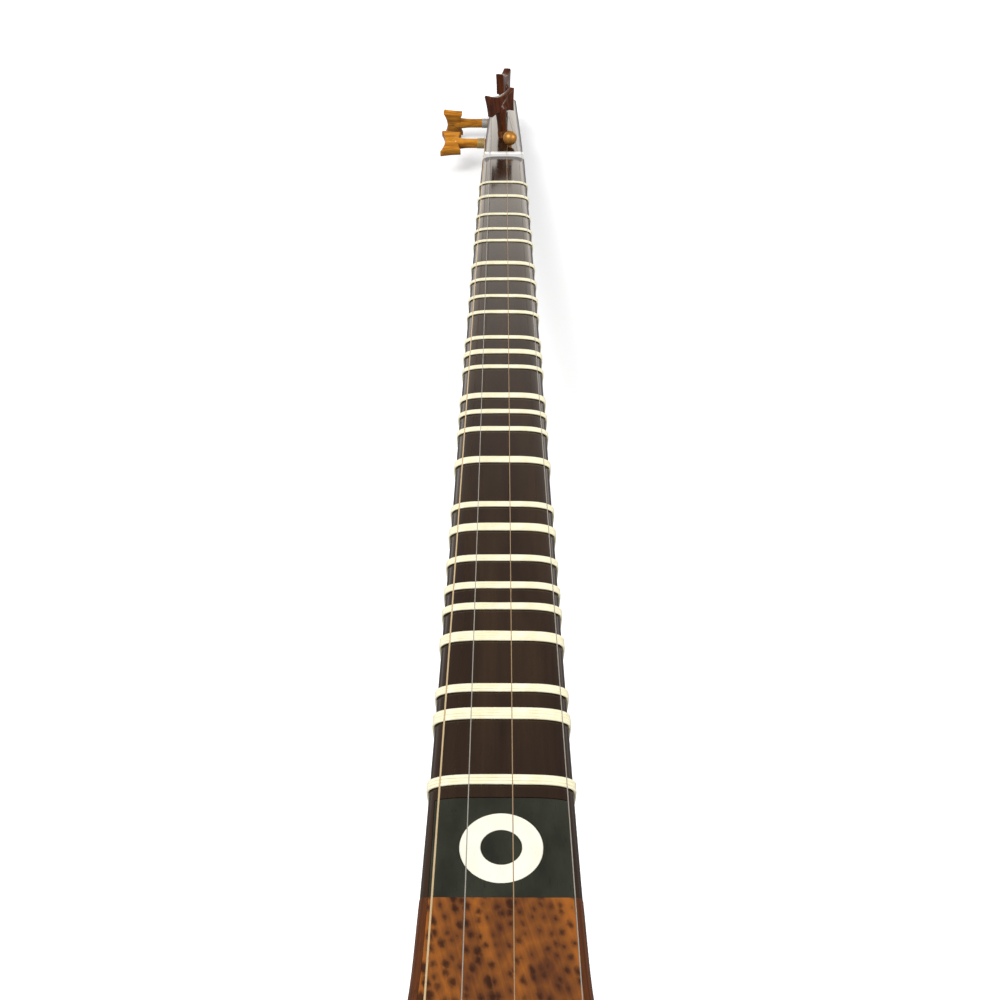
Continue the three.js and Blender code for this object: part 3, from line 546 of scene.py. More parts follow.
def neck_size(y):
    """Width, depth and squareness of the neck at a place along it."""
    if y > 0:
        share = y / head_length
        width = nut_width + (head_end_width - nut_width) * np.interp(share, *head_taper.T)
        squareness = np.interp(share, [0, 0.37], [0, 1])
        return width, nut_depth + (head_end_depth - nut_depth) * share, squareness
    share = -y / neck_run
    width = nut_width + (throat_width - nut_width) * np.interp(share, *neck_taper.T)
    return width, nut_depth + (throat_depth - nut_depth) * share, 0


def crown(share):
    """How far the face falls, at a share of its half width."""
    return edge_drop * (1 - np.sqrt(np.clip(1 - share**4, 0, 1)))


def neck_section(y, inset=0.0, face_points=24, back_points=36):
    width, depth, squareness = neck_size(y)
    share = np.sin(np.linspace(-np.pi / 2, np.pi / 2, face_points, endpoint=False))
    face = np.stack([width / 2 * share, -crown(share)], -1)
    turn = np.linspace(0, np.pi, back_points, endpoint=False)
    power = 1 + (square_back_power_share - 1) * squareness
    side = np.sign(np.cos(turn)) * np.abs(np.cos(turn)) ** power
    back = np.stack([width / 2 * side, -edge_drop - (depth - edge_drop) * np.sin(turn) ** power], -1)
    outline = np.vstack([face, back])
    middle = np.array([0, -depth / 2])
    room = np.array([width, depth]) / 2
    outline = middle + (outline - middle) * (room - inset) / room
    return np.insert(outline, 1, y, axis=1)


print("neck at nut and throat, in mm:", [round(1000 * neck_size(y)[0], 1) for y in (0, -neck_run)])

# %% Tools that cut the neck
cut_overrun = 0.006
seat_gap = 0.0001
turning_clearance = 0.00006
plate_width, plate_thickness = 0.0263, 0.0015
nut_sink, nut_thickness = 0.0015, 0.004
tenon_width, tenon_height, tenon_length, tenon_drop = 0.010, 0.012, 0.014, 0.011


def peg_axes(name):
    """A peg's own axes: Z out along its stem, X towards the tip of a wing of its grip."""
    joint = next(j for j in frame["joints"] if j["child"] == name)
    out = Vector(joint["axis"]).normalized()
    origin = Vector(joint["pos_m"])
    reach = [v.co - origin for v in frame["nodes"][name].data.vertices]
    sideways = [r - out * r.dot(out) for r in reach]
    longest = max(sideways, key=lambda r: r.length)
    tips = [s for s in sideways if s.length > longest.length * 0.96 and s.dot(longest) > 0]
    wing = sum(tips, Vector()).normalized()
    return axes_at(origin, wing, out.cross(wing), out)


peg_names = ["peg_front_lower", "peg_front_upper", "peg_side_lower", "peg_side_upper"]
pegs = {name: peg_axes(name) for name in peg_names}
shanks = {name: -own_places(frame["nodes"][name], axes)[:, 2].min() for name, axes in pegs.items()}
stem_radius, tip_radius = 0.00275, 0.0023
pin_places = own_places(frame["nodes"]["string_pin"], instrument)
pin_x, pin_y = (pin_places[:, :2].min(0) + pin_places[:, :2].max(0)) / 2
pin_foot, pin_top = pin_places[:, 2].min(), pin_places[:, 2].max()
pin_axes = instrument @ Matrix.Translation((pin_x, pin_y, 0))
pin_hole_radius = 0.0011


def peg_hole(name):
    grow = turning_clearance
    slope = (stem_radius - tip_radius) / shanks[name]
    bottom = -shanks[name] - cut_overrun
    rows = [(stem_radius + slope * bottom + grow, bottom), (stem_radius + grow, 0)]
    return solid("hole", turned([*rows, (stem_radius + grow, cut_overrun)], 48), pegs[name])


def neck_tools():
    back = -neck_run
    pocket = box_between(
        (-plate_width / 2 - seat_gap, back - cut_overrun, -plate_thickness - seat_gap),
        (plate_width / 2 + seat_gap, back + plate_length + seat_gap, cut_overrun),
    )
    slot = box_between((-nut_width, 0, -nut_sink), (nut_width, nut_thickness, cut_overrun))
    pin_hole = turned([(pin_hole_radius, z) for z in (pin_foot - seat_gap, cut_overrun)], 32)
    tools = [solid("pocket", pocket), solid("slot", slot), solid("pin_hole", pin_hole, pin_axes)]
    return tools + [peg_hole(name) for name in peg_names]


print("peg shanks, in mm:", {name: round(1000 * shank, 1) for name, shank in shanks.items()})

# %% The neck itself
end_round = 0.0008
stations = [*np.linspace(-neck_run, 0, 130), *np.linspace(0, head_length - end_round, 48)[1:]]
neck_rings = [neck_section(y) for y in stations]
for turn in np.linspace(0, np.pi / 2, 5)[1:]:
    y = head_length - end_round * (1 - math.sin(turn))
    neck_rings.append(neck_section(y, inset=end_round * (1 - math.cos(turn))))
neck = solid("neck_and_head", loft(neck_rings))
tenon = box_between(
    (-tenon_width / 2, -neck_run - tenon_length, -tenon_drop - tenon_height / 2),
    (tenon_width / 2, -neck_run + cut_overrun, -tenon_drop + tenon_height / 2),
)
combine(neck, [solid("tenon", tenon)], "UNION")
combine(neck, neck_tools())
dress(neck, neck_finish, ["neck"])
print("neck faces:", len(neck.data.polygons))

# %% [markdown]
# ## The throat plate and its ring
# The plate lies flush in the face and follows its roll. The ring is a slice of bone let into the
# plate, polished level with it, with its edge just broken. Both are drawn from the same crown as the
# neck's face, so that they sit flush.

# %% Plate and ring
ring_outer, ring_inner, ring_thickness = 0.0079, 0.00392, 0.0008
throat_half = throat_width / 2
ring_place_share = 0.48
ring_rise, ring_edge, sharp_edge = 0.00002, 0.00012, 0.00001
ring_tool_sides, ring_sides = 96, 128
ring_axes = instrument @ Matrix.Translation((0, -neck_run + plate_length * ring_place_share, 0))


def plate_ring(y, inset):
    x = np.linspace(-1, 1, 33) * (plate_width / 2 - inset)
    top = np.stack([x, np.full_like(x, y), -crown(x / throat_half) - inset], -1)
    bottom = [(x[-1], y, -plate_thickness), (x[0], y, -plate_thickness)]
    return np.vstack([top, bottom])


def ring_profile(grow, top, broken):
    return [
        (ring_inner - grow, -ring_thickness - grow),
        (ring_outer + grow, -ring_thickness - grow),
        (ring_outer + grow, top - broken),
        (ring_outer + grow - broken, top),
        (ring_inner - grow + broken, top),
        (ring_inner - grow, top - broken),
    ]


plate_edge = 0.00015
plate_places = [(0, plate_edge), (plate_edge, 0)]
plate_places += [(plate_length - y, inset) for y, inset in reversed(plate_places)]
plate_rings = [plate_ring(-neck_run + y, inset) for y, inset in plate_places]
plate = solid("throat_plate_face", loft(plate_rings))
ring_room = ring_profile(seat_gap / 2, cut_overrun, sharp_edge)
ring_tool = solid("ring_tool", turned(ring_room, ring_tool_sides, band=True), ring_axes)
combine(plate, [ring_tool])
dress(plate, plate_finish, ["throat_plate"])
ring_section = ring_profile(0, ring_rise, ring_edge)
ring = solid("ring_inlay_face", turned(ring_section, ring_sides, band=True), ring_axes)
dress(ring, bone_finish, ["ring_inlay"])
print("plate and ring faces:", len(plate.data.polygons), len(ring.data.polygons))

# %% [markdown]
# ## The nut
# The nut is a bar of bone set across the neck, with its upper edges rounded and a small notch filed
# under each string. Rings are set across the neck, closer together at the notches and at the rounded
# ends, and each ring is as tall as the nut is there.

# %% Nut
nut_height = 0.0017
nut_half = nut_width / 2 - 0.00025
nut_end_run, nut_end_drop, nut_edge_round = 0.0012, 0.0009, 0.0006
string_at_nut = {"bam": -0.0107, "zang": -0.0075, "sol": 0.00195, "do": 0.0102}
notch_half, notch_depth = 0.0003, 0.00022


def nut_top(x):
    end = np.clip((abs(x) - nut_half + nut_end_run) / nut_end_run, 0, 1)
    notch = max(max(0, 1 - abs(x - place) / notch_half) for place in string_at_nut.values())
    return nut_height - nut_end_drop * (1 - math.sqrt(1 - end**2)) - notch_depth * notch


def nut_ring(x):
    top, low = nut_top(x), -nut_sink + seat_gap
    front, back, bend = seat_gap, nut_thickness - seat_gap, nut_edge_round
    turns = np.linspace(0, np.pi / 2, 6)
    rise = [(back - bend + bend * math.cos(t), top - bend + bend * math.sin(t)) for t in turns]
    fall = [(front + bend - bend * math.sin(t), top - bend + bend * math.cos(t)) for t in turns]
    return [(x, y, z) for y, z in [(front, low), (back, low), *rise, *fall]]


ends = nut_half - nut_end_run * (1 - np.sin(np.linspace(0, np.pi / 2, 7)))
notches = [place + step * notch_half for place in string_at_nut.values() for step in (-1, -0.5, 0, 0.5, 1)]
nut_places = sorted({*ends, *-ends, *notches, *np.linspace(-0.01, 0.01, 9)})
nut = solid("nut_bar", loft([nut_ring(x) for x in nut_places if abs(x) <= nut_half]))
dress(nut, nut_finish, ["nut"], crease=50)
print("nut rings:", len(nut_places))

# %% [markdown]
# ## Tied gut frets
# A fret is one length of gut wound three or four times round the neck, pulled tight, and tied at the
# bass side of the back. Geometry Nodes suit it: the neck's own outline is the path, the tree repeats
# it once for each turn, shifts each copy along the neck, lets it wander a little as hand-tied gut
# does, and sweeps a slightly flattened round along it. The knot is out of sight under the other turns.
# One tree serves all twenty-five frets, with the number of turns and the seed as inputs.

# %% A short way to write geometry trees
class Tree(Graph):
    """A Geometry Nodes tree with named inputs."""

    def __init__(self, name, **inputs):
        super().__init__(bpy.data.node_groups.new(name, "GeometryNodeTree"))
        face = self.tree.interface
        face.new_socket("Geometry", in_out="INPUT", socket_type="NodeSocketGeometry")
        self.identifiers = {}
        for label, kind in inputs.items():
            socket = face.new_socket(label, in_out="INPUT", socket_type="NodeSocket" + kind)
            self.identifiers[label] = socket.identifier
        face.new_socket("Geometry", in_out="OUTPUT", socket_type="NodeSocketGeometry")
        self.source = self.node("NodeGroupInput")

    def input(self, label):
        return self.source.other(label)

    def end(self, geometry, material):
        whole = self.node("GeometryNodeRealizeInstances", geometry)
        last = self.node("GeometryNodeSetMaterial", Geometry=whole, Material=material)
        sink = self.tree.nodes.new("NodeGroupOutput")
        self.give(sink.inputs["Geometry"], last)
        return self

    def sweep(self, curve, profile, material):
        """Ends the tree with a profile swept along a curve."""
        profile = {"Profile Curve": profile, "Fill Caps": True}
        return self.end(self.node("GeometryNodeCurveToMesh", curve, **profile), material)

    def scatter(self, points, instance):
        """A copy of the instance at every point, as one geometry."""
        copies = self.node("GeometryNodeInstanceOnPoints", points, Instance=instance)
        return self.node("GeometryNodeRealizeInstances", copies)

    def apply(self, piece, **values):
        modifier = piece.modifiers.new(self.tree.name, "NODES")
        modifier.node_group = self.tree
        for label, value in values.items():
            modifier[self.identifiers[label]] = value
        return settle(piece)


print("geometry trees are ready")


# %% The fret tree
lane_step, wander_scale = 7.3, 90.0


def fret_tree():
    sizes = {"Strand width": "Float", "Strand height": "Float", "Pitch": "Float", "Wander": "Float"}
    tree = Tree("fret", Turns="Int", Seed="Float", Gut="Material", **sizes)
    loops = tree.node("GeometryNodeMeshToCurve", tree.input("Geometry"))
    loops = tree.node("GeometryNodeSetCurveNormal", loops, mode="Z_UP")
    turns = tree.input("Turns")
    copies = tree.node("GeometryNodeDuplicateElements", loops, domain="SPLINE", Amount=turns)
    turn = copies.other("Duplicate Index")
    shift = (turn - (turns - 1.0) / 2.0) * tree.input("Pitch")
    spot = {"Vector": tree.node("GeometryNodeInputPosition"), "W": turn * lane_step + tree.input("Seed")}
    look = {"noise_dimensions": "4D", "Scale": wander_scale, "Detail": 1.0}
    noise = tree.node("ShaderNodeTexNoise", output="Color", **look, **spot)
    centred = tree.vectors("SUBTRACT", noise, (0.5, 0.5, 0.5))
    wander = tree.vectors("SCALE", centred, Scale=tree.input("Wander"))
    offset = tree.vectors("ADD", wander, tree.node("ShaderNodeCombineXYZ", Z=shift))
    laid = tree.node("GeometryNodeSetPosition", copies, Offset=offset)
    round_gut = tree.node("GeometryNodeCurvePrimitiveCircle", Resolution=10, Radius=0.5)
    height, width = tree.input("Strand height"), tree.input("Strand width")
    flat = tree.node("ShaderNodeCombineXYZ", height, width, 1.0)
    return tree.sweep(laid, tree.node("GeometryNodeTransform", round_gut, Scale=flat), tree.input("Gut"))


frets = fret_tree()
print("fret tree inputs:", ", ".join(frets.identifiers))

# %% Tie the frets
octave_cents = 1200
fret_cents = [
    134, 202, 288, 355, 407, 503, 570, 637, 699, 794, 845, 899, 997, 1050, 1106, 1202, 1335, 1400, 1486,
    1559, 1614, 1690, 1817, 1878, 2029,
]
wide_fret_cents = [202, 503, 845, 997, 1202, 1400, 1690, 1878]
strand_height, strand_pitch = 0.00062, 0.00084
gut_sizes = {"Strand width": strand_pitch * 0.96, "Strand height": strand_height}
gut_sizes.update({"Pitch": strand_pitch, "Wander": 0.00018})
ring_plane = instrument @ Matrix(((1, 0, 0, 0), (0, 0, 1, 0), (0, -1, 0, 0), (0, 0, 0, 1)))


def fret_path(y):
    """The neck's outline at a fret, grown by half a strand, drawn in a plane across the neck."""
    outline = neck_section(y, inset=-strand_height / 2, face_points=40, back_points=60)
    return [(x, -z, 0) for x, _, z in outline]


def tie_fret(number, cents):
    y = -scale_length * (1 - 2 ** (-cents / octave_cents))
    path = fret_path(y)
    loop = [(i, (i + 1) % len(path)) for i in range(len(path))]
    piece = add_object(f"gut_fret_{number:02d}", mesh_of("path", path, edges=loop))
    turns = 4 if cents in wide_fret_cents else 3
    frets.apply(piece, Turns=turns, Seed=float(number), Gut=gut_finish.material, **gut_sizes)
    axes = ring_plane @ Matrix.Translation((0, 0, y))
    piece.data.transform(axes)
    return dress(piece, gut_finish, [f"fret_{number:02d}"], axes=axes, crease=80)


tied = [tie_fret(i + 1, cents) for i, cents in enumerate(fret_cents)]
print("frets tied:", len(tied), "faces in the first:", len(tied[0].data.polygons))

# %% [markdown]
# ## The pegs
# A peg is a tapered shank that turns in the head, a stem that string is wound on, and a flat grip
# shaped like a bow tie, hollowed along its edges. The stem is turned. The grip is a flat outline with
# a rolled edge, lofted in layers that shrink near both faces. The two are joined into one solid, as
# they are carved from one piece of wood.

# %% Pegs
stem_lengths = dict(zip(peg_names, [0.0145, 0.0135, 0.016, 0.0177]))
flare_length, flare_radius = 0.005, 0.0036
grip_height, grip_reach, grip_thickness = 0.0124, 0.0102, 0.0046
grip_bevel, tip_bevel = 0.0009, 0.0003


def arc_through(start, pull, end, steps=12):
    """A quadratic curve from start to end, drawn towards pull."""
    t = np.linspace(0, 1, steps, endpoint=False)[:, None]
    start, pull, end = (np.array(p, float) for p in (start, pull, end))
    return start * (1 - t) ** 2 + pull * 2 * t * (1 - t) + end * t**2


def grip_outline(stem_length):
    root, tip, top, dip = (0.3, 0.1), (0.84, 0), (1, 1), (0, 0.58)
    right = np.vstack([arc_through(root, (0.55, 0.1), tip), arc_through(tip, (0.86, 0.5), top)])
    lid = arc_through(top, dip, (-1, 1), 24)
    left = right[::-1] * (-1, 1)
    outline = np.vstack([right, lid, left])
    return outline * (grip_reach, grip_height) + (0, stem_length)


def grip_shape(stem_length):
    outline = grip_outline(stem_length)
    middle = outline.mean(0)
    room = np.array([grip_reach, grip_height / 2])
    layers = []
    for turn in np.linspace(-np.pi / 2, np.pi / 2, 11):
        inset = grip_bevel * (1 - math.cos(turn))
        depth = grip_thickness / 2 - grip_bevel + grip_bevel * abs(math.sin(turn))
        layer = middle + (outline - middle) * (room - inset) / room
        layers.append([(x, math.copysign(depth, turn) if turn else 0, z) for x, z in layer])
    return loft(layers)


def stem_shape(shank, stem_length):
    top = stem_length + grip_height / 2
    rows = [(tip_radius - tip_bevel, -shank), (tip_radius, -shank + tip_bevel), (stem_radius, 0)]
    rows.append((stem_radius, stem_length - flare_length))
    for t in np.linspace(0, 1, 9)[1:]:
        radius = stem_radius + (flare_radius - stem_radius) * t**1.5
        rows.append((radius, stem_length - flare_length + (flare_length + grip_height / 4) * t))
    rows.append((flare_radius * 0.5, top))
    return turned(rows, 40)


for name, axes in pegs.items():
    front = "front" in name
    peg = solid(name.replace("peg", "turning_peg"), stem_shape(shanks[name], stem_lengths[name]), axes)
    combine(peg, [solid("grip", grip_shape(stem_lengths[name]), axes)], "UNION")
    # Front pegs get the copy of the peg wood that is painted darker as painted shade.
    finish, slot = (painted_shade_peg_finish, "dark_peg_wood") if front else (amber_finish, "amber_wood")
    dress(peg, finish, [name], body=name, axes=axes)
    print(peg.name, "faces:", len(peg.data.polygons))

# %% [markdown]
# ## String wound on the pegs
# Each string ends in a tight coil round its peg, which turns with it. A coil is a spiral curve with a
# round swept along it, so a second tree makes all four, with the wire's thickness, the coil's radius
# and its length as inputs.

# %% Coils
def coil_tree():
    tree = Tree("coil", Turns="Float", Radius="Float", Length="Float", Wire="Float", Metal="Material")
    turns, radius, length = (tree.input(label) for label in ("Turns", "Radius", "Length"))
    sizes = {"Rotations": turns, "Start Radius": radius, "End Radius": radius, "Height": length}
    spiral = tree.node("GeometryNodeCurveSpiral", Resolution=40, **sizes)
    wire = tree.node("GeometryNodeCurvePrimitiveCircle", Resolution=7, Radius=tree.input("Wire") * 0.5)
    return tree.sweep(spiral, wire, tree.input("Metal"))


coils = coil_tree()
coil_pitch_share, coil_seat_share = 1.12, 0.52
wire_sizes = {"bam": 0.00035, "zang": 0.0002, "sol": 0.0002, "do": 0.0002}
# The sol coil takes the brass painted darker as painted shade.
coil_metals = {"bam": (brass_finish, "brass"), "sol": (painted_shade_brass_finish, "brass")}
coil_metals.update(dict.fromkeys(["zang", "do"], (steel_finish, "steel")))
peg_strings = dict(zip(peg_names, ["sol", "do", "bam", "zang"]))


def wind_coil(peg_name, string):
    node = f"winding_{string}"
    places = own_places(frame["nodes"][node], pegs[peg_name])
    low, high = places[:, 2].min(), places[:, 2].max()
    wire = wire_sizes[string]
    piece = add_object(f"coil_{string}", mesh_of("coil", []))
    metal, slot = coil_metals[string]
    values = {"Turns": (high - low) / (wire * coil_pitch_share), "Length": high - low}
    values.update({"Radius": stem_radius + wire * coil_seat_share, "Wire": wire})
    coils.apply(piece, **values, Metal=metal.material)
    axes = pegs[peg_name] @ Matrix.Translation((0, 0, low))
    piece.data.transform(axes)
    return dress(piece, metal, [node], body=peg_name, axes=axes, crease=80)


wound = [wind_coil(peg_name, string) for peg_name, string in peg_strings.items()]
print("coil faces:", [len(piece.data.polygons) for piece in wound])

# %% [markdown]
# ## The ball-headed pin
# A small brass ball stands behind the nut on a thin neck and keeps one string down. It is turned in
# one piece: a row of radii and heights, swept once round.

# %% Pin
ball_radius, ball_tip_radius = 0.00395, 0.00002
ball_rise = pin_top - ball_radius
neck_radius = 0.001
ball_turns = np.linspace(-np.pi / 2 + math.asin(neck_radius / ball_radius), np.pi / 2, 24)
ball = [(ball_radius * math.cos(t), ball_rise + ball_radius * math.sin(t)) for t in ball_turns[:-1]]
ball.append((ball_tip_radius, ball_rise + ball_radius))
pin = solid("ball_pin", turned([(neck_radius, pin_foot), *ball], 48), pin_axes)
dress(pin, ball_finish, ["string_pin"], axes=pin_axes)
print("pin top, in mm:", round(1000 * pin_top, 2))

# %% [markdown]
# ## The bowl
# The bowl is nine bent staves, glued edge to edge. Its plan and its depth follow one table, and every
# section across it is half an ellipse, so a point is found from a station along the body and a turn
# round it. Each stave is a loft of its own section: outside, seam, inside and seam again. The two
# staves at the rim also carry a ledge for the soundboard and a rolled upper edge, which the photograph
# shows as a bright line beside the board.

# %% The bowl's surface
joint_gap, glue_line = 0.0003, 0.00003
body_length, body_half_width, body_depth = 0.240, 0.078, 0.124
bowl_start = -neck_run - joint_gap
bowl_outline_shares = [
    [0, 0.19, 0.194], [0.08, 0.199, 0.235], [0.17, 0.245, 0.34], [0.28, 0.39, 0.53], [0.4, 0.62, 0.75],
    [0.52, 0.845, 0.915], [0.63, 0.97, 0.99], [0.73, 1, 1], [0.82, 0.955, 0.935], [0.895, 0.83, 0.8],
    [0.95, 0.645, 0.615], [0.982, 0.42, 0.4], [1, 0.14, 0.14],
]
bowl_line = smooth_through(bowl_outline_shares, steps=7)
bowl_y = bowl_start - bowl_line[:, 0] * body_length
bowl_y[0] = -neck_run - glue_line
bowl_half = bowl_line[:, 1] * body_half_width
bowl_deep = bowl_line[:, 2] * body_depth


def on_bowl(turn, inset=0.0, drop=0.0):
    """A point at every station: at a turn round the bowl, moved in square to it, and then down."""
    turn = np.broadcast_to(turn, bowl_y.shape)
    cos, sin = np.cos(turn), np.sin(turn)
    here = np.stack([bowl_half * cos, bowl_y, -bowl_deep * sin], -1)
    half_slope, y_slope, deep_slope = (np.gradient(v) for v in (bowl_half, bowl_y, bowl_deep))
    forwards = np.stack([half_slope * cos, y_slope, -deep_slope * sin], -1)
    around = np.stack([-bowl_half * sin, 0 * bowl_y, -bowl_deep * cos], -1)
    inward = np.cross(forwards, around)
    inward /= np.linalg.norm(inward, axis=1, keepdims=True)
    to_spine = -here * (1, 0, 1)
    inward *= np.sign((inward * to_spine).sum(1, keepdims=True))
    return here + inward * inset - np.array([0, 0, drop])


def turn_for(distance, turn):
    """The turn that a short distance round the bowl takes, at every station."""
    return distance / np.hypot(bowl_half * math.sin(turn), bowl_deep * math.cos(turn))


print("bowl stations:", len(bowl_y))

# %% Staves
stave_count, stave_wall, stave_strips = 9, 0.003, 14
seam_gap, seam_edge = 0.00008, 0.00018
rim_width, rim_round, board_thickness = 0.0017, 0.0014, 0.002


def stave_run(first, last, inset, steps=stave_strips):
    return [on_bowl(first + (last - first) * share, inset) for share in np.linspace(0, 1, steps)]


def inner_stave(index):
    first, last = (np.pi * i / stave_count for i in (index, index + 1))
    gap, bevel = turn_for(seam_gap / 2, first), turn_for(seam_gap / 2 + seam_edge, first)
    outside = stave_run(first + bevel, last - bevel, 0)
    inside = stave_run(last - gap, first + gap, stave_wall)
    edges = on_bowl(last - gap, seam_edge), on_bowl(first + gap, seam_edge)
    return [*outside, edges[0], *inside, edges[1]]


def rim_stave():
    """The stave under the treble rim, from the board's ledge over the rolled edge to its seam."""
    last = np.pi / stave_count
    gap, bevel = turn_for(seam_gap / 2, last), turn_for(seam_gap / 2 + seam_edge, last)
    rolled = [
        on_bowl(0, rim_round * (1 - math.sin(t)), rim_round * (1 - math.cos(t)))
        for t in np.linspace(0, np.pi / 2, 7)
    ]
    outside = stave_run(turn_for(rim_round * 1.2, 0), last - bevel, 0)
    inside = stave_run(last - gap, turn_for(rim_width + board_thickness, 0), stave_wall)
    ledge = board_thickness + seat_gap
    seat = [on_bowl(0, stave_wall, ledge), on_bowl(0, rim_width, ledge), on_bowl(0, rim_width)]
    return [*rolled, *outside, on_bowl(last - gap, seam_edge), *inside, *seat]


def stave_grain(places):
    """Grain that runs along a stave: round the bowl, along it, and through its wall."""
    x, y, z = places.T
    turn = np.arctan2(-z, x)
    return np.stack([turn * body_half_width, y, turn * 0.9], -1)


for index in range(stave_count):
    at_rim = index in (0, stave_count - 1)
    rings = np.stack(rim_stave() if at_rim else inner_stave(index), axis=1)
    if index == stave_count - 1:
        rings = rings * (-1, 1, 1)
    light = index % 2 == 1
    finish, slot = (bowl_light_finish, "bowl_wood_light") if light else (bowl_finish, "bowl_wood")
    stave = solid(f"bent_stave_{index + 1}", loft(rings))
    dress(stave, finish, [f"stave_{index + 1}"], grain=stave_grain)
print("staves:", stave_count, "faces in the last:", len(stave.data.polygons))

# %% [markdown]
# ## The soundboard
# The board is a thin plate that sits on the ledge inside the rim. Small round holes in three groups
# let the sound out. Holes repeat, so a tree instances a drill at each of them and takes the drills out
# of the board with one boolean.

# %% Board and its sound holes
def drill_tree():
    groups = {f"Group {number}": "Vector" for number in (1, 2, 3)}
    tree = Tree("sound_holes", Radius="Float", Spacing="Float", Depth="Float", Wood="Material", **groups)
    centres = [tree.node("GeometryNodePoints", Position=tree.input(label)) for label in groups]
    spacing = {"fill_type": "NONE", "Vertices": 6, "Radius": tree.input("Spacing")}
    hexagon = tree.node("GeometryNodeMeshToPoints", tree.node("GeometryNodeMeshCircle", **spacing))
    pattern = tree.node("GeometryNodeJoinGeometry", [hexagon, tree.node("GeometryNodePoints")])
    places = tree.scatter(tree.node("GeometryNodeJoinGeometry", centres), pattern)
    drill = {"Vertices": 28, "Radius": tree.input("Radius"), "Depth": tree.input("Depth")}
    drills = tree.scatter(places, tree.node("GeometryNodeMeshCylinder", **drill))
    cut = {"operation": "DIFFERENCE", "solver": "EXACT", "Mesh 1": tree.input("Geometry")}
    drilled = tree.node("GeometryNodeMeshBoolean", **cut, Mesh_2=drills)
    return tree.end(drilled, tree.input("Wood"))


def board_shape():
    rim = on_bowl(0, rim_width + seat_gap / 2)
    side = np.stack([rim[:, 0], np.minimum(rim[:, 1], bowl_y[0])], -1)
    outline = np.vstack([side, side[::-1] * (-1, 1)])
    layers = [np.column_stack([outline, np.full(len(outline), z)]) for z in (-board_thickness, 0)]
    return loft(layers)


def body_place(share, aside=0.0):
    return (aside, -neck_run - body_length * share, -board_thickness / 2)


own_board = solid("pierced_soundboard", board_shape(), Matrix())
holes = {"Radius": 0.0015, "Spacing": 0.006, "Depth": 0.01, "Group 1": body_place(0.52, -0.03)}
holes.update({"Group 2": body_place(0.52, 0.03), "Group 3": body_place(0.29)})
drill_tree().apply(own_board, **holes, Wood=board_finish.material)
own_board.data.transform(instrument)
dress(own_board, board_finish, ["soundboard"])
print("board faces:", len(own_board.data.polygons))

# %% [markdown]
# ## Bridge, tail and string holder
# These small pieces are right as solids but have knife-sharp edges, which no filed piece of wood or
# bone has. A copy of each solid is merged, cleaned of the lines between its flat triangles, and given
# a fine bevel, so that its edges catch the light.

# %% Softened copies
merge_reach = 0.000005


def soften(node, name, finish, bevel):
    mesh = frame["nodes"][node].data.copy()
    work = bmesh.new()
    work.from_mesh(mesh)
    bmesh.ops.remove_doubles(work, verts=work.verts, dist=merge_reach)
    bmesh.ops.dissolve_limit(work, angle_limit=math.radians(1), verts=work.verts, edges=work.edges)
    work.to_mesh(mesh)
    work.free()
    piece = add_object(name, mesh)
    modifier = piece.modifiers.new("edges", "BEVEL")
    modifier.width = bevel
    modifier.segments = 3
    modifier.limit_method = "ANGLE"
    modifier.angle_limit = math.radians(35)
    settle(piece)
    return dress(piece, finish, [node])


soften("bridge", "filed_bridge", amber_finish, 0.0004)
soften("tail_cap", "rounded_tail_cap", plate_finish, 0.0005)
soften("tail_saddle", "rounded_saddle", bone_finish, 0.0003)
soften("string_holder", "filed_string_holder", bone_finish, 0.00025)
print("softened the bridge and three tail pieces")

# %% [markdown]
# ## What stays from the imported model
# The strings are straight runs of round wire, and the blocks and the brace lie hidden in the bowl.
# Their solids are right as they are, so they keep their meshes and only take a material. They have no
# grain attribute, so those materials read the object's coordinates.

# %% Strings and inner pieces
carried = {
    "string_bam": bass_string_finish,
    "string_sol": brass_string_finish,
    "string_zang": steel_string_finish,
    "string_do": steel_string_finish,
    "heel_block": inner_finish,
    "tail_block": inner_finish,
    "cross_brace": inner_finish,
}
for node, finish in carried.items():
    materials = frame["nodes"][node].data.materials
    materials.clear()
    materials.append(finish.material)
print("kept from the model:", ", ".join(carried))

# %% [markdown]
# ## Floor, white studio and light
# The photograph is shot on white. The floor takes the object's soft shadow. A glow that only the camera
# sees lifts it to white, so no extra light falls on the object. The glow is faint by the instrument and
# stronger far off, where the lamps don't reach. In reflections the world is bright low behind the head
# and dim elsewhere, and the floor under the instrument is dimmer too. That is why the lacquered face is
# grey by the head, dark by the body, and dark along its rounded edges. Two large soft lamps stand beside
# the body, one on each side, where the flat face can't mirror them to the camera.

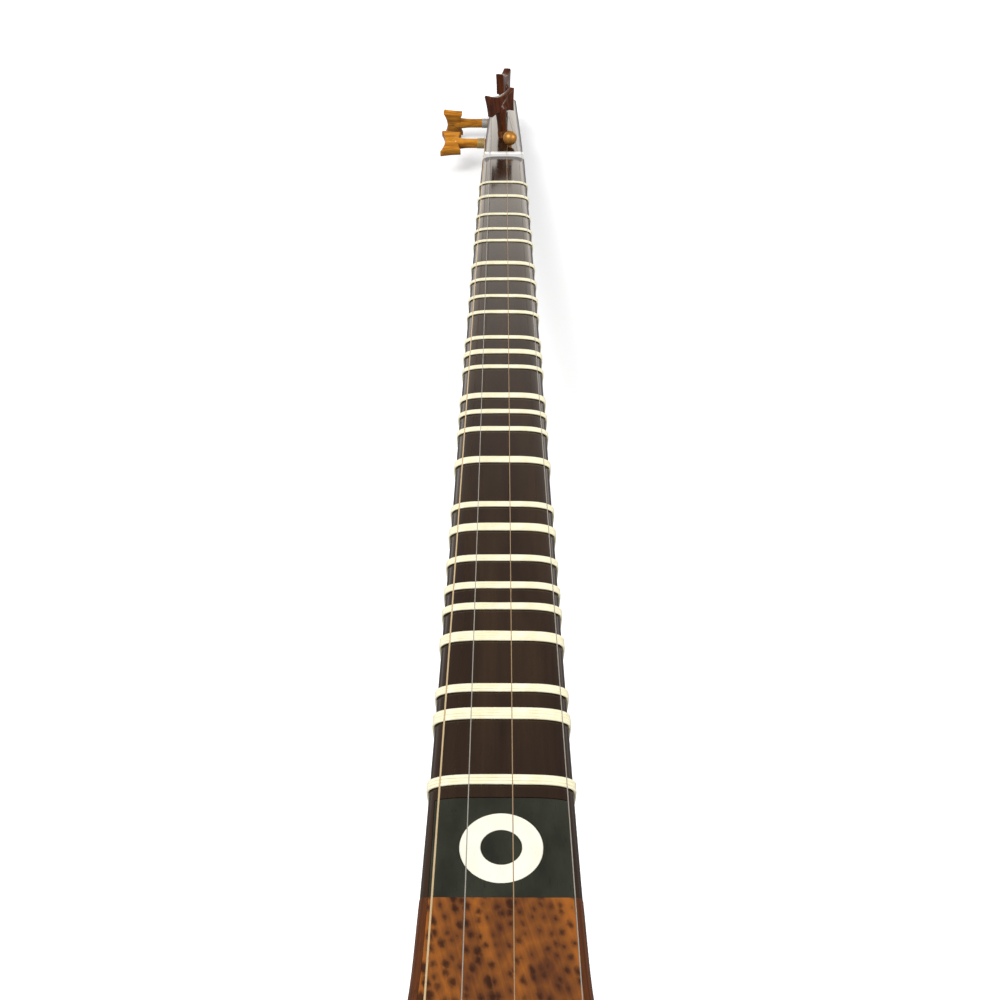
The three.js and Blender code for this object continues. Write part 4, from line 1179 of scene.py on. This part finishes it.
# %% Floor
def white_floor():
    finish = Finish("floor", Roughness=1.0)
    finish.set("Specular IOR Level", 0.0)
    finish.set("Emission Strength", 1.0)
    camera_ray = finish.node("ShaderNodeLightPath", output="Is Camera Ray")
    mirrored = camera_ray.other("Is Glossy Ray")
    place = finish.place((1, 1, 1), source="object")
    headwards = finish.node("ShaderNodeSeparateXYZ", place, output="Y")
    past_head = finish.between(headwards, 0.45, 0.75)
    reflected = finish.blend(past_head, paint("8a8a8a"), paint("ffffff"))
    lit = finish.blend(mirrored, paint("808080"), reflected)
    finish.set("Base Color", finish.blend(camera_ray, lit, paint("ffffff")))
    distance = finish.vectors("LENGTH", place, output="Value")
    glow = finish.blend(finish.between(distance, 0.9, 2.4), (0.3, 0.3, 0.3, 1), (0.7, 0.7, 0.7, 1))
    finish.set("Emission Color", finish.blend(camera_ray, (0, 0, 0, 1), glow))
    return finish


floor_size, floor_gap = 12, 0.0001
floor_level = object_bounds()[0][2] - floor_gap
corners = ((-1, -1), (1, -1), (1, 1), (-1, 1))
floor_points = [(x * floor_size, y * floor_size, floor_level) for x, y in corners]
floor_mesh = mesh_of("floor", floor_points, [(0, 1, 2, 3)])
floor_mesh.materials.append(white_floor().material)
add_object("floor", floor_mesh)
print("floor laid")

# %% World and lamps
ambient = 0.56
head_glow, dim_glow, most_glow, fade = 3.5, 0.22, 2, 7
world = bpy.data.worlds.new("white studio")
world.use_nodes = True
bpy.context.scene.world = world
sky = Graph(world.node_tree)
background = sky.tree.nodes["Background"]
seen = sky.node("ShaderNodeLightPath", output="Is Camera Ray")
mirrored = seen.other("Is Glossy Ray")
direction = sky.node("ShaderNodeTexCoord", output="Generated")
height = sky.node("ShaderNodeSeparateXYZ", direction, output="Z")
behind = sky.between(height.other("Y"), 0.6, 0.97)
low_glow = (1 - height) ** fade * behind * head_glow
glow = sky.node("ShaderNodeClamp", low_glow, Max=most_glow)
reflected = glow + dim_glow
light = mirrored * reflected + (1 - mirrored) * ambient
sky.give(background.inputs["Strength"], seen + (1 - seen) * light)
sky.give(background.inputs["Color"], sky.blend(mirrored, (1, 1, 1, 1), (1, 0.94, 0.86, 1)))


def soft_lamp(name, place, size, watts, aim=(0, 0.1, 0.05)):
    lamp = bpy.data.lights.new(name, "AREA")
    lamp.energy = watts
    lamp.size = size
    holder = add_object(name, lamp)
    holder.location = place
    holder.rotation_mode = "QUATERNION"
    holder.rotation_quaternion = (Vector(aim) - Vector(place)).to_track_quat("-Z", "Y")
    return holder


soft_lamp("key", (-0.7, -0.5, 1.2), size=0.7, watts=13)
soft_lamp("fill", (1.0, -0.15, 0.6), size=0.6, watts=5)
